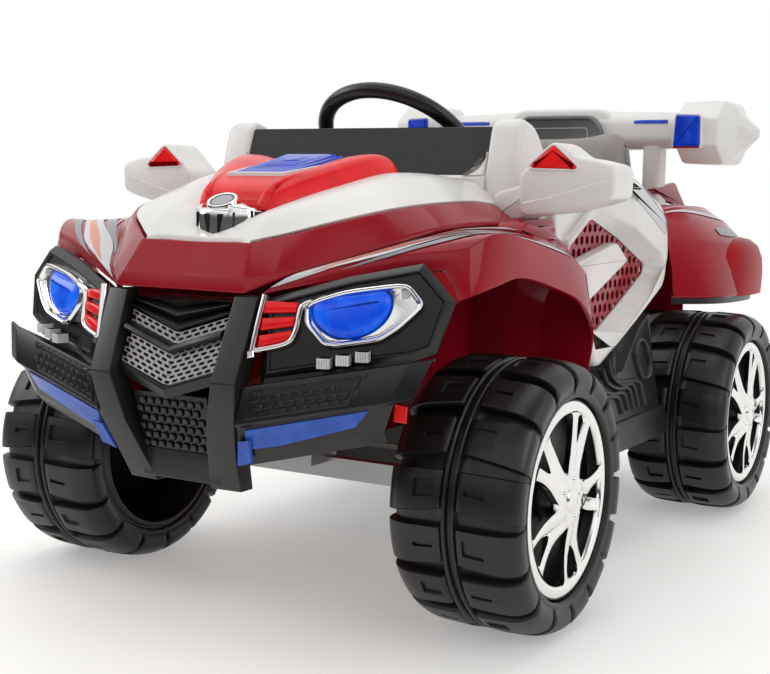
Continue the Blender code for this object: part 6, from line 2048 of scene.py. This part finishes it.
pillow(bm, lamp_line, ((-.004, 0), (.006, 0), (.008, .0012), (.0086, .004)), on_lamp)
pair("rear_lamp_moulding", bm, BLUE_GLASS, "blue_lens", ("rear_lamp_glass",), 40)
bm = bmesh.new()
window_frame(bm, inset(lamp_line, -.0034), lamp_line, ((-.004, 0), (.003, 0), (.004, .001)),
             ((-.004, 0), (.003, 0), (.004, -.001)), on_lamp)
pair("rear_lamp_border", bm, WHITE, "white_gloss", angle=40)
bm = bmesh.new()
pillow(bm, [(.229, .5852), (.2725, .5852), (.2725, .5882), (.229, .5882)],
       ((0, 0), (.005, 0), (.0054, .0004)), on_lamp)
pair("rear_lamp_line", bm, RED_DEEP, "red_gloss", angle=40)
bm = bmesh.new()
stripe = rounded([(.137, .629), (.197, .629), (.197, .635), (.137, .635)], .002)
pillow(bm, stripe, ((-.01, 0), (.001, 0), (.0016, .001)),
       lambda u, v, h: aft(u, .05 - h + (v - .629) * .5, v))
pair("bar_stripe", bm, BLUE_GLASS, "blue_lens", angle=40)
bm = bmesh.new()
fin = rounded([(.787, .518), (.898, .531), (.991, .491), (.96, .486), (.849, .498)], .004)
pillow(bm, [(u - .75, v) for u, v in fin], ((.169, .002), (.17, .0008), (.172, 0), (.178, 0), (.18, .0008),
                                            (.181, .002)), lambda u, v, h: aft(h, min(u, .204), v))
pair("deck_fin", bm, RED, "red_gloss", angle=40)
show("lamps and trim", 10)

# %% [markdown]
# ## Back panel, bumper and dashboard details
# The back panel is a pressed tray, so it carries a raised field and a raised border that stiffen it.
# Screws hold it and the bumper at the corners, and two round reflectors sit beside the bumper. On
# the dashboard a ring surrounds the start button, a gate surrounds the lever, and two round dials
# without figures stand behind the steering wheel.

# %% Raised fields and bumper ribs at the back
def on_back(u, v, h):
    """The back of the car: sideways, up and backward from the back panel."""
    return aft(u, .1938 + h, v)


def round_line(u, v, radius, corners=20):
    """A regular outline with its middle at (u, v)."""
    turns = [2 * pi * i / corners for i in range(corners)]
    return [(u + radius * cos(turn), v + radius * sin(turn)) for turn in turns]


SWELL = ((-.001, 0), (.0004, 0), (.0016, .0008), (.0024, .0026))
bm = bmesh.new()
border = rounded([(-.176, .288), (.176, .288), (.176, .446), (-.176, .446)], .014, 4)
window_frame(bm, border, inset(border, .01), ((-.001, 0), (.0004, 0), (.0016, .0008), (.0022, .0022)),
             ((-.001, 0), (.0004, 0), (.0016, -.0008), (.0022, -.0022)), on_back)
for low, high in ((.306, .344), (.352, .382), (.39, .428)):
    lean = (high - .306) * .2
    for side in (-1, 1):
        field_line = rounded([(side * .018, low), (side * (.15 - lean), low), (side * (.146 - lean), high),
                              (side * .018, high)], .006, 4)
        pillow(bm, field_line, SWELL, on_back)
piece("back_panel_fields", bm, RED, angle=40)
bm = bmesh.new()
pillow(bm, rounded([(-.206, .205), (.206, .205), (.206, .275), (-.206, .275)], .008, 4),
       ((.0003, .001), (.0012, 0), (.007, 0), (.008, .0006), (.0086, .002)), on_back)
for low in (.215, .2345, .254):
    pillow(bm, rounded([(-.186, low), (.186, low), (.186, low + .011), (-.186, low + .011)], .004),
           ((.008, -.0002), (.0098, 0), (.0108, .001), (.0112, .0028)), on_back)
piece("rear_bumper_moulding", bm, BLACK, "black_plastic", ("rear_bumper",), 40)
print("back faces:", [len(obj.data.polygons) for obj in MADE[-2:]])

# %% Screws and reflectors at the back
bm = bmesh.new()
for side in (-1, 1):
    for u, v, rise in ((.165, .298, .0022), (.165, .436, .0022), (.196, .265, .0092), (.196, .217, .0092)):
        pillow(bm, round_line(side * u, v, .0042, 16),
               ((rise - .001, 0.0), (rise + .0008, 0.0), (rise + .0014, .0008)), on_back)
        pillow(bm, [(side * u + a * .0026, v + b * .0006) for a, b in ((-1, -1), (1, -1), (1, 1), (-1, 1))],
               ((rise + .001, 0.0), (rise + .0017, 0.0), (rise + .0018, .0001)), on_back)
piece("back_screws", bm, STEEL, angle=34)
bm = bmesh.new()
for side in (-1, 1):
    pillow(bm, round_line(side * .168, .2395 + .128, .0125, 28),
           ((-.0005, 0), (.003, 0), (.0042, .001), (.005, .0035), (.0053, .007)), on_back)
piece("back_reflectors", bm, RED_GLASS, angle=50)
show("back pieces", 2)

# %% Dials, ring and gate on the dashboard
BUTTON_MIDDLE = (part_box("start_button")[0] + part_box("start_button")[1]) / 2
DASH_OUT = (on_steering(0, 0, 1) - on_steering(0, 0, 0)).normalized()
DASH_DOWN = Vector((0, DASH_OUT.z, -DASH_OUT.y))


def on_dash(u, v, h):
    """The dashboard's face: sideways, down from the steering column and outward."""
    return Vector((u, BUTTON_MIDDLE.y, BUTTON_MIDDLE.z)) + DASH_DOWN * (v - .03) + DASH_OUT * (h + .0015)


def ring(bm, u, v, inner, outer, rise, count=28):
    """A raised ring on the dashboard."""
    window_frame(bm, round_line(u, v, outer, count), round_line(u, v, inner, count),
                 ((-.0005, 0), (rise * .5, 0.0), (rise * .85, .0006), (rise, .0016)),
                 ((-.0005, 0), (rise * .5, 0.0), (rise * .85, -.0004), (rise, -.001)), on_dash)


bm = bmesh.new()
ring(bm, .15, .03, .0125, .0175, .0022)
for side in (-1, 1):
    ring(bm, side * .078, -.004, .019, .0225, .003, 32)
piece("dashboard_rings", bm, SILVER, angle=40)
bm = bmesh.new()
for side in (-1, 1):
    pillow(bm, round_line(side * .078, -.004, .019, 32), ((-.0005, 0), (.0004, 0), (.0006, .0006)), on_dash)
gate = rounded([(-.164, .012), (-.136, .012), (-.136, .05), (-.164, .05)], .006, 4)
window_frame(bm, gate, round_line(-.15, .03, .0106, len(gate)), ((-.0005, 0), (.0008, 0), (.0014, .0008)),
             ((-.0005, 0), (.0008, 0), (.0014, -.0004)), on_dash)
piece("dashboard_dials", bm, CHARCOAL, angle=40)
bm = bmesh.new()
for side in (-1, 1):
    for step in range(9):
        turn = radians(-40 + step * 32.5)
        middle = (side * .078 - cos(turn) * .016, -.004 - sin(turn) * .016)
        pillow(bm, round_line(middle[0], middle[1], .0007, 6), ((.0004, 0), (.0009, 0), (.001, .0002)),
               on_dash)
    hand = [(-.0007, .002), (.0007, .002), (.0003, -.013), (-.0003, -.013)]
    pillow(bm, [(side * .078 + a * .8 - b * .6, -.004 + a * .6 + b * .8) for a, b in hand],
           ((.0006, 0), (.0012, 0), (.0014, .0002)), on_dash)
piece("dashboard_marks", bm, STICKER_PALE, angle=40)
show("dashboard pieces", 3)

# %% [markdown]
# ## First coat
# Hidden and simple nodes keep their CAD mesh and only get a finish. The slots of the record name the
# finish, so one table does them all.

# %% Finishes for the CAD nodes
FINISH_OF_SLOT = {
    "red_gloss": RED, "white_gloss": WHITE, "black_plastic": BLACK, "tyre_plastic": TYRE, "chrome": CHROME,
    "steel": STEEL, "blue_lens": BLUE_GLASS, "red_lens": RED_GLASS, "dark_glass": DARK_GLASS,
    "seat_grey": SEAT_GREY, "silver_paint": SILVER,
}


def slot_of(node):
    """The record's slot name of a CAD node, read from its imported material."""
    return NODES[node].data.materials[0].name.split(".")[0]


for node in sorted(NODES):
    found = slot_of(node)
    if found in FINISH_OF_SLOT:
        NODES[node].data.materials[0] = FINISH_OF_SLOT[found]
    else:
        print("no finish for", node, found)
print("painted", len(NODES), "nodes")

# %% Softened mouldings
for node, width, material, slot in (
    ("rear_panel", .0012, RED, "red_gloss"),
    ("dashboard", .0012, BLACK, "black_plastic"),
    ("chassis_tub", .0015, CHARCOAL, "black_plastic"),
):
    made = softened(node, width, material, slot)
    print(made.name, len(made.data.polygons), "faces")

# %% [markdown]
# ## The floor
# The floor is a wide pale sheet. To the camera it fades into the white of the background with
# distance, and close to the car it keeps the car's own shadow.

# %% Floor
FLOOR_HALF = 3.0
FADE_START = .8
FADE_END = 2.6
floor_mesh = bpy.data.meshes.new("floor")
floor_mesh.from_pydata([(-FLOOR_HALF, -FLOOR_HALF, 0), (FLOOR_HALF, -FLOOR_HALF, 0),
                        (FLOOR_HALF, FLOOR_HALF, 0), (-FLOOR_HALF, FLOOR_HALF, 0)], [], [(0, 1, 2, 3)])
floor = bpy.data.objects.new("floor", floor_mesh)
floor_finish, tree, shader, vector = start_material("studio_floor", Roughness=.55, Emission_Strength=.36)
shade_of_floor = blend_colour(tree, curve_between(tree, noise(tree, vector, 3.0, 4.0), .3, .7),
                              (.83, .815, .795), (.86, .845, .83))
tree.links.new(shade_of_floor, shader.inputs["Base Color"])
tree.links.new(shade_of_floor, shader.inputs["Emission Color"])
distance = new_node(tree, "ShaderNodeVectorMath", operation="LENGTH", inputs={0: vector})
faded = curve_between(tree, distance.outputs["Value"], FADE_START, FADE_END, 1.0, 0.0)
tree.links.new(faded, shader.inputs["Alpha"])
floor_mesh.materials.append(floor_finish)
bpy.context.scene.collection.objects.link(floor)
print("floor", 2 * FLOOR_HALF, "m wide")
